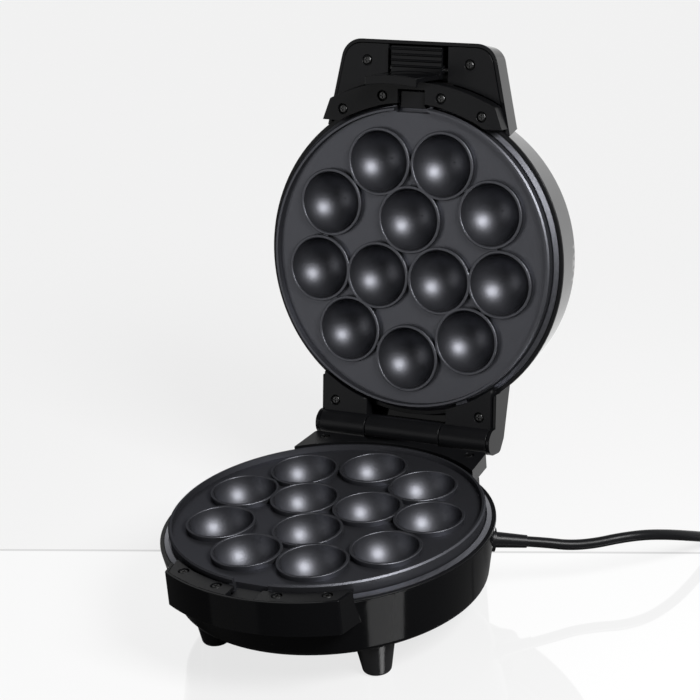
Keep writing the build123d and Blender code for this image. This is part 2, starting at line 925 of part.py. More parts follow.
# Lower frame: the ring, the cover of the grip, the rear bracket and the middle hinge barrel
ring = make_ring()
grip_cover = extruded(
    base_grip(frame_inner, grip_lip + fit_gap), -insert_drop - cover_thickness, -insert_drop
)
bracket_walls = extruded(bracket_outline(), ring_top, rear_top)
bracket_space = extruded(bracket_outline(frame_wall), ring_top, rear_top - cover_thickness)
with BuildPart() as base_frame:
    add(bracket_walls)
    add(bracket_space, mode=Mode.SUBTRACT)
    with Locations((0, rear_end_y - 2 * frame_wall, ring_top)):
        Box(
            2 * barrel_half,
            hinge_y - barrel_radius / 3 - rear_end_y + 2 * frame_wall,
            rear_top - ring_top,
            align=(Align.CENTER, Align.MIN, Align.MIN),
        )
    with Locations(*raised(rear_screws, ring_top)):
        Cylinder(
            frame_boss_radius,
            rear_top - ring_top,
            align=(Align.CENTER, Align.CENTER, Align.MIN),
        )
    add(grip_cover)
    with Locations(*raised(base_screws, -rim_drop)):
        Cylinder(
            frame_boss_radius,
            rim_drop - insert_drop,
            align=(Align.CENTER, Align.CENTER, Align.MIN),
        )
    for side in (-1, 1):
        with Locations((side * (release_half_width + release_side_gap), -ring_outer, -insert_drop)):
            Box(
                frame_wall,
                grip_radius - ring_outer - 2 * grip_lip,
                release_leg_drop - insert_drop,
                align=(Align.MAX if side < 0 else Align.MIN, Align.MAX, Align.MAX),
            )
    with Locations((0, 0, hook_clear)):
        Cylinder(
            ring_inner,
            release_leg_drop,
            align=(Align.CENTER, Align.CENTER, Align.MAX),
            mode=Mode.SUBTRACT,
        )
    add(ring)
    with Locations(Location((0, hinge_y, hinge_rise), (0, 90, 0))):
        Cylinder(barrel_radius, 2 * barrel_half)
        Cylinder(pin_radius + press_gap, 3 * barrel_half, mode=Mode.SUBTRACT)
    with Locations((0, hinge_y - link_setback, hinge_rise)):
        Cylinder(
            pin_bore,
            4 * barrel_radius,
            align=(Align.CENTER, Align.CENTER, Align.MAX),
            mode=Mode.SUBTRACT,
        )
    with Locations(*raised(rear_screws, rear_top)):
        CounterBoreHole(screw_hole, counterbore_radius, counterbore_depth, 2 * screw_length)
    with Locations(*raised(base_screws, -insert_drop)):
        CounterBoreHole(screw_hole, counterbore_radius, counterbore_depth, 2 * screw_length)
    with Locations((0, -frame_inner + 2 * frame_wall, -insert_drop)):
        Box(
            2 * (release_half_width + release_side_gap),
            grip_radius - frame_inner + 2 * frame_wall,
            3 * cover_thickness,
            align=(Align.CENTER, Align.MAX, Align.CENTER),
            mode=Mode.SUBTRACT,
        )
    with Locations((0, -ring_outer, ring_top)):
        Box(
            2 * (release_leg_half_width + fit_gap),
            6 * frame_wall,
            3 * (release_leg_drop + ring_top),
            mode=Mode.SUBTRACT,
        )
    with Locations(*hook_places(ring_inner, -hook_drop + fit_gap)):
        Box(
            2 * (hook_reach - fit_gap),
            hook_width + 2 * fit_gap,
            hook_thickness + 2 * fit_gap,
            align=(Align.CENTER, Align.CENTER, Align.MAX),
            mode=Mode.SUBTRACT,
        )
finish(on_base(base_frame.part), "base_frame")

plate = make_plate()
element, leg_places = make_element()
pan = make_pan(leg_places)
clips = make_clips()
finish(on_base(plate), "lower_plate")
finish(on_base(element), "lower_heating_element")
finish(on_base(pan), "lower_reflector")
finish(on_base(clips), "lower_element_clips")

# Plate release of the base, with its spring
base_spring_length = grip_radius - grip_lip - fit_gap + release_leg_y - release_leg_thickness
finish(on_base(make_release(insert_drop)), "lower_plate_release")
finish(on_base(make_release_spring(base_spring_length)), "lower_release_spring")

# Screws of the base
base_seats = raised(base_screws, -insert_drop - counterbore_depth)
rear_seats = raised(rear_screws, rear_top - counterbore_depth)
finish(on_base(screw_group(base_seats, screw_length)), "base_front_screws")
finish(on_base(screw_group(rear_seats, screw_length)), "base_rear_screws")

# Feet: tapered, with a rounded bottom edge and a blind hole for a screw from above
foot_height = rim_height + tub_floor
for name, place in feet_places.items():
    with BuildPart() as foot:
        with BuildSketch(Plane.XZ) as outline:
            with BuildLine():
                Polyline(
                    (0, 0),
                    (foot_bottom_radius, 0),
                    (foot_top_radius, foot_height),
                    (0, foot_height),
                    close=True,
                )
            make_face()
            fillet(outline.vertices().group_by(Axis.Y)[0].sort_by(Axis.X)[-1], foot_rounding)
        revolve(axis=Axis.Z)
        with Locations((0, 0, foot_height)):
            Hole(screw_pilot, foot_pilot_depth)
    finish(foot.part.moved(Location((place[0], place[1], 0))), name)
foot_seats = raised(feet_places.values(), tub_inside_floor)
finish(on_base(screw_group(foot_seats, foot_screw_length)), "foot_screws")

# Hollow hinge pins, one for each joint of the barrels
for side, name in ((-1, "left_hinge_pin"), (1, "right_hinge_pin")):
    with BuildPart() as pin:
        middle = side * (pin_inner_end + pin_outer_end) / 2
        with Locations(Location((middle, hinge_y, hinge_height), (0, 90, 0))):
            Cylinder(pin_radius, pin_outer_end - pin_inner_end)
            Cylinder(pin_bore, pin_outer_end, mode=Mode.SUBTRACT)
    finish(pin.part, name)

# Thermostat and thermal fuse under the pan of the base
pan_bottom = -pan_depth - pan_sheet
with BuildPart() as thermostat:
    with Locations((0, 0, pan_bottom)):
        Cylinder(
            thermostat_radius,
            thermostat_height,
            align=(Align.CENTER, Align.CENTER, Align.MAX),
        )
        Box(
            thermostat_flange,
            thermostat_radius,
            pan_sheet,
            align=(Align.CENTER, Align.CENTER, Align.MAX),
        )
    with Locations((0, thermostat_radius / 2, pan_bottom - thermostat_height)):
        Box(
            thermostat_tab,
            pan_sheet,
            2 * terminal_radius,
            align=(Align.CENTER, Align.CENTER, Align.MAX),
        )
finish(on_base(thermostat.part), "thermostat")

with BuildPart() as fuse:
    with Locations((-2 * thermostat_radius, 3 * thermostat_radius, pan_bottom - fuse_radius - pan_sheet)):
        Cylinder(fuse_radius, fuse_length / 2, rotation=(0, 90, 0))
        Cylinder(fuse_radius / 3, fuse_length, rotation=(0, 90, 0))
finish(on_base(fuse.part), "thermal_fuse")

# Terminal block on the floor of the tub, level with the place where the sheath lands
block_middle = tub_inside_floor + block_height / 2
sheath_low = Vector(*polar(sheath_landing, gland_angle, block_middle))
with BuildPart() as terminal_block:
    with Locations((block_x, sheath_low.Y, block_middle)):
        Box(block_length, block_width, block_height)
    with Locations((block_x, sheath_low.Y, block_middle + block_height / 2)):
        with GridLocations(block_length / 3, 1, 3, 1):
            Hole(terminal_radius, block_height / 2)
finish(on_base(terminal_block.part), "terminal_block")

# Gland and strain relief, moulded in one piece on the cord
with BuildPart() as strain_relief:
    with BuildSketch(gland_plane):
        Circle(gland_flange_radius)
    extrude(amount=gland_flange)
    with BuildSketch(gland_plane):
        Circle(gland_neck_radius)
    extrude(amount=-shell_wall - gland_play)
    with BuildSketch(gland_plane.offset(-shell_wall - gland_play)):
        Circle(gland_inner_flange_radius)
    extrude(amount=-gland_inner_flange)
    with BuildSketch(gland_plane.offset(gland_flange)):
        Circle(relief_start_radius)
    with BuildSketch(gland_plane.offset(relief_length)):
        Circle(relief_end_radius)
    loft()
finish(on_base(strain_relief.part), "strain_relief")

# Route of the power cord, from the strain relief down to the counter and to the coil
axis_direction = gland_plane.z_dir
relief_tip = gland_plane.origin + axis_direction * relief_length + Vector(0, 0, rim_height)
resting = cord_radius + cord_rest_gap
coil_entry = (coil_centre[0] - coil_radius, coil_centre[1], resting)
cord_points = [
    tuple(relief_tip),
    tuple(relief_tip + axis_direction * relief_lead),
    *cord_waypoints,
    (coil_entry[0], coil_entry[1] - coil_lead, resting),
    coil_entry,
]
power_cord, cord_path = routed_tube(cord_points, cord_radius)
finish(power_cord, "power_cord")

# Coil of the unseen length: two layers, in and out again, climbing where it reverses
coil_places = []
coil_heading = []
half_turns = coil_turns_in + 1 + coil_turns_out
for index in range(half_turns + 1):
    inward = min(index, coil_turns_in)
    outward = max(index - coil_turns_in - 1, 0)
    radius = coil_radius - (inward - outward) * coil_pitch / 2
    side = -1 if index % 2 == 0 else 1
    height = resting + (coil_climb if index > coil_turns_in else 0)
    coil_places.append((coil_centre[0] + side * radius, coil_centre[1], height))
    coil_heading.append((0, -side, 0))
with BuildLine() as coil_route:
    for index in range(half_turns):
        half_turn(
            coil_places[index], coil_heading[index], coil_places[index + 1], coil_heading[index + 1]
        )
coil_path = coil_route.wires()[0]
cord_coil = tube_along(coil_path, cord_radius)
finish(cord_coil, "cord_coil")

# Tail of the cord from the top of the coil to the plug
coil_exit = coil_places[-1]
plug_height = plug_radius + cord_rest_gap
tail_points = [
    coil_exit,
    (coil_exit[0], coil_exit[1] - coil_lead, coil_exit[2]),
    tuple(Vector(*coil_exit) + Vector(*tail_turn)),
    (coil_exit[0] + tail_shift, coil_exit[1] - tail_rise, plug_height),
    (coil_exit[0] + tail_shift, coil_exit[1] - tail_length, plug_height),
]
cord_tail, tail_path = routed_tube(tail_points, cord_radius)
finish(cord_tail, "cord_tail")

# Round plug with a tapered neck and two pins
plug_start = tail_points[-1]
plug_plane = Plane(origin=plug_start, x_dir=(1, 0, 0), z_dir=(0, -1, 0))
with BuildPart() as plug:
    with BuildSketch(plug_plane):
        Circle(relief_end_radius)
    with BuildSketch(plug_plane.offset(plug_neck_length)):
        Circle(2 * relief_end_radius)
    loft()
    with BuildSketch(plug_plane.offset(plug_neck_length)):
        Circle(plug_back_radius)
    with BuildSketch(plug_plane.offset(plug_neck_length + plug_depth)):
        Circle(plug_radius)
    loft()
    with BuildSketch(plug_plane.offset(plug_neck_length + plug_depth)):
        with GridLocations(plug_pin_spacing, 1, 2, 1):
            Circle(plug_pin_radius)
    extrude(amount=plug_pin_length)
finish(plug.part, "plug")


def coil_gap(path, samples=480, turn_share=0.35):
    """The least gap between stretches of a coil that lie more than a third of a turn apart."""
    points = [path @ (index / samples) for index in range(samples + 1)]
    apart = int(samples / half_turns * 2 * turn_share)
    least = min(
        (a - b).length
        for index, a in enumerate(points)
        for b in points[index + apart:]
    )
    return least - 2 * cord_radius


# Measurements of the cord
section = math.pi * cord_radius ** 2
for label, solid, path in (
    ("power_cord", power_cord, cord_path),
    ("cord_coil", cord_coil, coil_path),
    ("cord_tail", cord_tail, tail_path),
):
    ratio = solid.volume / (section * path.length)
    print(label, "length", round(path.length, 1), "volume ratio", round(ratio, 4))
print("cord radii", [round(radius, 1) for radius in bend_radii(cord_points)])
print("tail radii", [round(radius, 1) for radius in bend_radii(tail_points)])
print("least gap in the coil", round(coil_gap(coil_path), 2))


# Lid half

lid_screws = front_screws(lid_screw_circle)
ear_screws = [(side * rear_screw_x, ear_screw_y) for side in (-1, 1)]
handle_screws = [(side * handle_screw_x, handle_screw_y) for side in (-1, 1)]
cover_bottom = -handle_cover_drop - handle_cover_thickness
handle_floor = -rim_drop - handle_depth
pocket_floor = -(latch_pivot_drop + latch_eye_radius + latch_gap)
lid_wire_wall_y = math.sqrt(tub_inner_rim ** 2 - lid_wire_x ** 2)
lamp_places = [(side * lamp_spacing / 2, lamp_y) for side in (-1, 1)]
spring_stop = base_spring_length - release_leg_y + release_leg_thickness


def housing_profile():
    """Side view of the housing over the hinge: flat sides with a round end at the barrels."""
    front = hinge_y - barrel_radius
    rear = hinge_y + barrel_radius
    with BuildSketch(Plane.YZ.offset(-housing_half_width)) as profile:
        with BuildLine():
            Line((front, -housing_top_drop), (front, lid_hinge))
            ThreePointArc((front, lid_hinge), (hinge_y, lid_hinge + barrel_radius), (rear, lid_hinge))
            Polyline(
                (rear, lid_hinge),
                (rear, -housing_shoulder),
                *housing_slope,
                (housing_start_y, housing_slope[-1][1]),
                (housing_start_y, -housing_top_drop),
                (front, -housing_top_drop),
            )
        make_face()
        shoulder = profile.vertices().sort_by_distance((rear, -housing_shoulder))[0]
        fillet(shoulder, housing_rounding)
    return profile.sketch


def housing_space_profile():
    """Side view of the space in the housing, open towards the hinge."""
    rear = hinge_y + barrel_radius - shell_wall
    slope = [(y, height + shell_wall) for y, height in housing_slope]
    with BuildSketch(Plane.YZ.offset(-housing_half_width + shell_wall)) as profile:
        with BuildLine():
            Polyline(
                (housing_start_y, barrel_radius),
                (rear, barrel_radius),
                (rear, -housing_shoulder),
                *slope,
                (housing_start_y, slope[-1][1]),
                close=True,
            )
        make_face()
    return profile.sketch


def lid_bracket(inset=0.0):
    """Outline of the front bracket of the lid."""
    return grip_outline(
        bracket_radius,
        bracket_corner,
        bracket_corner_y,
        bracket_root,
        bracket_root_y,
        frame_inner + inset,
        inset,
    )


def ears_outline(inset=0.0):
    """Outline of the two ears between the ring and the barrels of the lid."""
    with BuildSketch() as outline:
        for side in (-1, 1):
            middle = side * (ear_half_width + ear_inner) / 2
            end = hinge_y - barrel_radius / 2
            with Locations((middle, (rear_start_y + end) / 2)):
                Rectangle(ear_half_width - ear_inner - 2 * inset, end - rear_start_y - 2 * inset)
        Circle(frame_inner + inset, mode=Mode.SUBTRACT)
    return outline.sketch


# Upper housing: the tub, the trapezoid handle and the housing over the hinge
with BuildPart() as handle_block:
    with BuildSketch(Plane.XY.offset(-rim_drop)):
        add(handle_outline())
    extrude(amount=-handle_depth, taper=handle_taper)
    fillet(handle_block.faces().sort_by(Axis.Z)[0].edges(), handle_rounding)
with BuildPart() as handle_space:
    with BuildSketch(Plane.XY.offset(-rim_drop)):
        add(handle_outline(shell_wall))
    extrude(amount=-(handle_depth - shell_wall), taper=handle_taper)
    add(outer_tub, mode=Mode.SUBTRACT)
with BuildPart() as hinge_housing:
    add(housing_profile())
    extrude(amount=2 * housing_half_width, dir=(1, 0, 0))
with BuildPart() as hinge_space:
    add(housing_space_profile())
    extrude(amount=2 * (housing_half_width - shell_wall), dir=(1, 0, 0))
    with Locations(Location((0, hinge_y, lid_hinge), (0, 90, 0))):
        Cylinder(barrel_radius + swing_clearance, 2 * (housing_half_width - shell_wall))
    add(outer_tub, mode=Mode.SUBTRACT)
with BuildPart() as lid_shell:
    add(outer_tub)
    add(hinge_housing)
    add(handle_block)
    add(tub_space, mode=Mode.SUBTRACT)
    add(handle_space, mode=Mode.SUBTRACT)
    add(hinge_space, mode=Mode.SUBTRACT)
    with Locations((0, 0, -rim_drop)):
        Cylinder(
            ring_outer + fit_gap,
            rim_drop,
            align=(Align.CENTER, Align.CENTER, Align.MIN),
            mode=Mode.SUBTRACT,
        )
    with Locations(*raised(lid_screws, handle_floor + shell_wall / 2)):
        Cylinder(
            boss_radius,
            -rim_drop - handle_floor - shell_wall / 2,
            align=(Align.CENTER, Align.CENTER, Align.MIN),
        )
    with Locations(*raised(handle_screws, handle_floor + shell_wall / 2)):
        Cylinder(
            boss_radius,
            cover_bottom - handle_floor - shell_wall / 2,
            align=(Align.CENTER, Align.CENTER, Align.MIN),
        )
    with Locations(*raised(ear_screws, -rim_drop)):
        Cylinder(
            boss_radius,
            handle_depth / 2,
            align=(Align.CENTER, Align.CENTER, Align.MAX),
        )
    with Locations(*raised([*lid_screws, *ear_screws], -rim_drop)):
        Hole(screw_pilot, pilot_depth)
    with Locations(*raised(handle_screws, cover_bottom)):
        Hole(screw_pilot, handle_pilot_depth)
    with Locations((0, -tub_rim_radius, -rim_drop)):
        Box(
            2 * (release_leg_half_width + fit_gap),
            6 * shell_wall,
            2 * (release_leg_drop + fit_gap - rim_drop),
            mode=Mode.SUBTRACT,
        )
    with Locations(*raised(lamp_places, tub_floor)):
        Cylinder(lamp_radius + pin_clearance, 3 * shell_wall, mode=Mode.SUBTRACT)
    with Locations((lid_wire_x, lid_wire_wall_y, -lid_wire_drop)):
        Cylinder(2 * link_radius, 6 * shell_wall, rotation=(90, 0, 0), mode=Mode.SUBTRACT)
finish(on_lid(lid_shell.part), "lid_shell")

# Upper frame: the ring, the front bracket, and the ears with the outer hinge barrels
bracket_block = extruded(lid_bracket(), -rim_drop, -bracket_drop)
bracket_hollow = extruded(lid_bracket(frame_wall), -rim_drop, -bracket_drop - cover_thickness)
ears_block = extruded(ears_outline(), ring_top, -ear_drop)
ears_hollow = extruded(ears_outline(frame_wall), ring_top, -ear_drop - cover_thickness)
outer_barrel_length = ear_half_width - barrel_joint - barrel_gap / 2
with BuildPart() as lid_frame:
    add(ears_block)
    add(ears_hollow, mode=Mode.SUBTRACT)
    with Locations(*raised(ear_screws, -rim_drop)):
        Cylinder(
            frame_boss_radius,
            rim_drop - ear_drop,
            align=(Align.CENTER, Align.CENTER, Align.MIN),
        )
    add(bracket_block)
    add(bracket_hollow, mode=Mode.SUBTRACT)
    with Locations(*raised(lid_screws, -rim_drop)):
        Cylinder(
            frame_boss_radius,
            rim_drop - bracket_drop,
            align=(Align.CENTER, Align.CENTER, Align.MIN),
        )
    for side in (-1, 1):
        rail_x = side * (release_half_width + release_side_gap)
        with Locations((rail_x, -ring_outer, -bracket_drop)):
            Box(
                frame_wall,
                bracket_radius - ring_outer - frame_wall / 2,
                release_leg_drop - bracket_drop,
                align=(Align.MAX if side < 0 else Align.MIN, Align.MAX, Align.MAX),
            )
    with Locations((0, -spring_stop, -bracket_drop)):
        Box(
            2 * (release_half_width + release_side_gap),
            frame_wall,
            release_leg_drop - bracket_drop,
            align=(Align.CENTER, Align.MAX, Align.MAX),
        )
    with Locations((0, 0, hook_clear)):
        Cylinder(
            ring_inner,
            release_leg_drop,
            align=(Align.CENTER, Align.CENTER, Align.MAX),
            mode=Mode.SUBTRACT,
        )
    add(ring)
    for side in (-1, 1):
        middle = side * (ear_half_width - outer_barrel_length / 2)
        with Locations(Location((middle, hinge_y, lid_hinge), (0, 90, 0))):
            Cylinder(barrel_radius, outer_barrel_length)
    with Locations(Location((0, hinge_y, lid_hinge), (0, 90, 0))):
        Cylinder(pin_radius + pin_clearance, 3 * ear_half_width, mode=Mode.SUBTRACT)
    with Locations(Plane(origin=(lid_wire_x, hinge_y, lid_hinge), z_dir=lid_wire_slope).location):
        Cylinder(
            pin_bore,
            2 * barrel_radius,
            align=(Align.CENTER, Align.CENTER, Align.MIN),
            mode=Mode.SUBTRACT,
        )
    with Locations(*raised(ear_screws, -ear_drop)):
        CounterBoreHole(screw_hole, counterbore_radius, counterbore_depth, 2 * screw_length)
    with Locations(*raised(lid_screws, -bracket_drop)):
        CounterBoreHole(screw_hole, counterbore_radius, counterbore_depth, 2 * screw_length)
    with Locations((0, release_outer_y - release_recess / 2, ring_top)):
        Box(
            2 * (release_half_width + release_side_gap),
            release_recess - release_outer_y - frame_inner + 2 * frame_wall,
            -2 * ring_top,
            align=(Align.CENTER, Align.MIN, Align.MIN),
            mode=Mode.SUBTRACT,
        )
    with Locations((0, -ring_outer, ring_top)):
        Box(
            2 * (release_leg_half_width + fit_gap),
            6 * frame_wall,
            3 * (release_leg_drop + ring_top),
            mode=Mode.SUBTRACT,
        )
    with Locations(*hook_places(ring_inner, hook_clear)):
        Box(
            2 * (hook_reach - fit_gap),
            hook_width + 2 * fit_gap,
            hook_thickness + 2 * fit_gap,
            align=(Align.CENTER, Align.CENTER, Align.MAX),
            mode=Mode.SUBTRACT,
        )
finish(on_lid(lid_frame.part), "lid_frame")

finish(on_lid(plate), "upper_plate")
finish(on_lid(element), "upper_heating_element")
finish(on_lid(pan), "upper_reflector")
finish(on_lid(clips), "upper_element_clips")
finish(on_lid(make_release(bracket_drop)), "upper_plate_release")
finish(on_lid(make_release_spring(base_spring_length)), "upper_release_spring")

# Cover plate of the handle, with a sunk pocket for the latch
pocket_half_width = latch_recess_half_width + frame_wall
cover_outline = handle_outline(shell_wall + fit_gap)
with BuildSketch() as bracket_reach:
    add(lid_bracket())
    Circle(bracket_radius - fit_gap)
    offset(amount=2 * fit_gap)
bracket_room = extruded(bracket_reach.sketch, 2 * handle_floor, 0.0)
with BuildPart() as lid_handle_cover:
    add(extruded(cover_outline, cover_bottom, -handle_cover_drop))
    with BuildSketch(Plane.XY.offset(pocket_floor - frame_wall)):
        add(handle_outline(shell_wall + pocket_setback))
        with Locations((0, handle_end_y)):
            Rectangle(2 * pocket_half_width, 4 * latch_recess_half_width, mode=Mode.INTERSECT)
    extrude(amount=frame_wall - pocket_floor - handle_cover_drop)
    add(bracket_room, mode=Mode.SUBTRACT)
    with Locations((0, handle_end_y - shell_wall, pocket_floor)):
        Box(
            2 * latch_recess_half_width,
            -handle_end_y,
            -pocket_floor,
            align=(Align.CENTER, Align.MIN, Align.MIN),
            mode=Mode.SUBTRACT,
        )
    with Locations(Location((0, latch_pivot_y, -latch_pivot_drop), (0, 90, 0))):
        Cylinder(latch_pin_radius, 3 * pocket_half_width, mode=Mode.SUBTRACT)
    with Locations(*raised(handle_screws, -handle_cover_drop)):
        CounterBoreHole(
            screw_hole, counterbore_radius, handle_cover_thickness / 2, 2 * screw_length
        )
finish(on_lid(lid_handle_cover.part), "lid_handle_cover")

# Latch: a ribbed thumb pad on a cross pin, an arm and a lip that hooks under the grip
lip_radius = grip_radius + latch_gap
arm_outer = lip_radius + latch_lip_reach
arm_inner = arm_outer - latch_wall


def latch_section(inner, outer):
    """A curved strip in front of the grip, as wide as the latch."""
    with BuildSketch() as strip:
        Circle(outer)
        Circle(inner, mode=Mode.SUBTRACT)
        with Locations((0, -outer)):
            Rectangle(2 * latch_half_width, outer, mode=Mode.INTERSECT)
    return strip.sketch


pad_bottom = -latch_pad_drop - latch_pad_thickness
pad_length = -arm_inner - latch_pad_end_y
rib_pitch = (latch_pivot_y - latch_pad_end_y) / latch_rib_count
with BuildPart() as lid_latch:
    add(extruded(latch_section(arm_inner, arm_outer), pad_bottom, latch_lip_height))
    add(
        extruded(
            latch_section(lip_radius, arm_outer),
            latch_lip_height - latch_lip_thickness,
            latch_lip_height,
        )
    )
    with Locations((0, latch_pad_end_y, pad_bottom)):
        Box(
            2 * latch_half_width,
            pad_length,
            latch_pad_thickness,
            align=(Align.CENTER, Align.MIN, Align.MIN),
        )
    with Locations((0, latch_pivot_y, pad_bottom)):
        Box(
            2 * latch_half_width,
            latch_eye_radius,
            latch_pivot_drop + pad_bottom,
            align=(Align.CENTER, Align.CENTER, Align.MAX),
        )
    with Locations(Location((0, latch_pivot_y, -latch_pivot_drop), (0, 90, 0))):
        Cylinder(latch_eye_radius, 2 * latch_half_width)
        Cylinder(latch_pin_radius + pin_clearance, 3 * latch_half_width, mode=Mode.SUBTRACT)
    for index in range(latch_rib_count):
        rib_y = latch_pad_end_y + (index + 0.5) * rib_pitch
        with Locations(Location((0, rib_y, -latch_pad_drop), (0, 90, 0))):
            Cylinder(latch_rib_radius, 2 * latch_half_width)
finish(on_lid(lid_latch.part), "lid_latch")

with BuildPart() as latch_pin:
    with Locations(Location((0, latch_pivot_y, -latch_pivot_drop), (0, 90, 0))):
        Cylinder(latch_pin_radius, 2 * pocket_half_width - frame_wall / 2)
finish(on_lid(latch_pin.part), "latch_pin")

# Screws of the lid
lid_seats = raised(lid_screws, -bracket_drop - counterbore_depth)
ear_seats = raised(ear_screws, -ear_drop - counterbore_depth)
handle_seats = raised(handle_screws, -handle_cover_drop - handle_cover_thickness / 2)
finish(on_lid(screw_group(lid_seats, lid_screw_length)), "lid_front_screws")
finish(on_lid(screw_group(ear_seats, screw_length)), "lid_ear_screws")
finish(on_lid(screw_group(handle_seats, screw_length)), "lid_handle_screws")

# Lamp lenses in the top of the lid
for place, name in zip(lamp_places, ("power_lamp_lens", "ready_lamp_lens")):
    with BuildPart() as lens:
        with Locations((place[0], place[1], tub_floor)):
            Cylinder(
                lamp_head_radius,
                lamp_head_height,
                align=(Align.CENTER, Align.CENTER, Align.MAX),
            )
            Cylinder(lamp_radius, lamp_shank, align=(Align.CENTER, Align.CENTER, Align.MIN))
        fillet(lens.faces().sort_by(Axis.Z)[0].edges(), lamp_head_height / 2)
    finish(on_lid(lens.part), name)

# Wiring inside the base, and the clamp that holds the sheath of the cord
left_leg, right_leg = sorted(leg_places, key=lambda point: point.X)
leg_end = left_leg.Z - element_leg - terminal_length / 2


def lead_to(leg, points):
    """A lead that ends square against the right side of the terminal of one element leg."""
    near = (leg.X + lead_reach, leg.Y, leg_end)
    end = (leg.X + terminal_radius + pin_clearance, leg.Y, leg_end)
    return routed_tube([*points, near, end], wire_radius)[0]


sheath_start = gland_plane.origin - axis_direction * (shell_wall + gland_play + gland_inner_flange)
sheath_turn = sheath_start - axis_direction * sheath_run
block_right = block_x + block_length / 2
block_left = block_x - block_length / 2
block_back = sheath_low.Y + block_width / 2
lead_spread = block_width / 4
sheath = routed_tube(
    [
        tuple(sheath_start),
        tuple(sheath_turn),
        tuple(sheath_low),
        (block_right, sheath_low.Y, block_middle),
    ],
    sheath_radius,
)[0]
right_lead = lead_to(
    right_leg,
    [
        (block_left, sheath_low.Y + lead_spread, block_middle),
        (block_left - lead_reach, sheath_low.Y + lead_spread, block_middle),
    ],
)
left_lead = lead_to(
    left_leg,
    [
        (block_left, sheath_low.Y - lead_spread, block_middle),
        (block_left - lead_reach, sheath_low.Y - lead_spread, block_middle),
        *left_lead_route,
    ],
)
link_y = hinge_y - link_setback
link = routed_tube(
    [
        (link_start_x, block_back, block_middle),
        (link_start_x, block_back + link_run, block_middle),
        *link_route,
        (0.0, link_y, link_rise),
        (0.0, link_y, hinge_rise - link_radius),
    ],
    link_radius,
)[0]
with BuildPart() as base_wiring:
    add(sheath)
    add(right_lead)
    add(left_lead)
    add(link)
finish(on_base(base_wiring.part), "base_wiring")

with BuildPart() as cord_clamp:
    with Locations((clamp_x, sheath_low.Y, tub_inside_floor)):
        Box(
            clamp_length,
            clamp_width,
            block_height / 2 + sheath_radius + clamp_wall,
            align=(Align.CENTER, Align.CENTER, Align.MIN),
        )
    with Locations((clamp_x, sheath_low.Y, block_middle)):
        Cylinder(
            sheath_radius + pin_clearance,
            2 * clamp_length,
            rotation=(0, 90, 0),
            mode=Mode.SUBTRACT,
        )
finish(on_base(cord_clamp.part), "cord_clamp")

# Wiring of the lid: a cable through the hollow hinge, with a lead to each element leg
lid_link = routed_tube(
    [
        (link_radius + fit_gap, hinge_y, lid_hinge),
        (lid_wire_x, hinge_y, lid_hinge),
        *lid_link_route,
    ],
    link_radius,
)[0]
with BuildPart() as lid_wiring:
    add(lid_link)
    add(lead_to(right_leg, [lid_link_route[-1], *lid_right_lead_route]))
    add(lead_to(left_leg, [lid_link_route[-1], *lid_left_lead_route]))
finish(on_lid(lid_wiring.part), "lid_wiring")
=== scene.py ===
import json
import math

import bmesh
import bpy
from mathutils import Matrix, Vector
from mathutils.bvhtree import BVHTree
from mathutils.geometry import intersect_point_line
from mathutils.interpolate import poly_3d_calc
from mathutils.kdtree import KDTree

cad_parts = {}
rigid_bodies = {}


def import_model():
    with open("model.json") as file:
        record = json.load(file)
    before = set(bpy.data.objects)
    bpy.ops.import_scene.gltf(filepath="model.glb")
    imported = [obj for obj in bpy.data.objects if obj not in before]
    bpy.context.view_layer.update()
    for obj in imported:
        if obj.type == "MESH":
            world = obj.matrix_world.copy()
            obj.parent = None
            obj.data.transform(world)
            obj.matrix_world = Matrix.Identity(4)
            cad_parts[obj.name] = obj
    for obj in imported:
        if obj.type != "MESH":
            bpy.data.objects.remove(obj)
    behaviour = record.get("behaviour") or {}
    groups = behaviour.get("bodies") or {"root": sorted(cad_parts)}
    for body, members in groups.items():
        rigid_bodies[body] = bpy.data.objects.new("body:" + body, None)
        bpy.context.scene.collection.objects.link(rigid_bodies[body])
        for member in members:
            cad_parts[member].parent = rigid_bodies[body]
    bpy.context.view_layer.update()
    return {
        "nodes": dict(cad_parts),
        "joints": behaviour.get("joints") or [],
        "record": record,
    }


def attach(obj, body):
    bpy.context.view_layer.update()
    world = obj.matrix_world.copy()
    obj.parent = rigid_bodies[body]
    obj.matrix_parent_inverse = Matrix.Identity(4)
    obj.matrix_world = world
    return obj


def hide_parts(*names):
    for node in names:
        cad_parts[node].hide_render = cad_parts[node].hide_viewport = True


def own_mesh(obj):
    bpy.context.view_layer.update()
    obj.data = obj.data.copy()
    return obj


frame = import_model()

# %% [markdown]
# This scene finishes a round snack maker that stands open on a white counter.
# The machine's pieces arrive at their real size and place, in metres.
# Z points up, the front grip lies towards -Y and the hinge towards +Y.
# The steps are: camera, counter and light, then the finishes, then the pieces one by one.

# %% What all the steps share
MM = 0.001
nodes = frame["nodes"]
joints = {joint["name"]: joint for joint in frame["joints"]}
scene = bpy.context.scene

# %% [markdown]
# The camera comes first, because everything else is judged through it.
# Its angle, distance and lens were fitted to the machine's round rims, which show as ellipses.
# The lens is long, so the ellipses stay nearly parallel.

# %% Camera
image_size = 700
focal_pixels = 2335.39
camera_turn = math.radians(28.86)
camera_tilt = math.radians(22.03)
camera_roll = math.radians(-5.20)
camera_distance = 1395.68 * MM
camera_across = 14.03 * MM
camera_above = 95.85 * MM
aim = Vector((0, 0, 70 * MM))

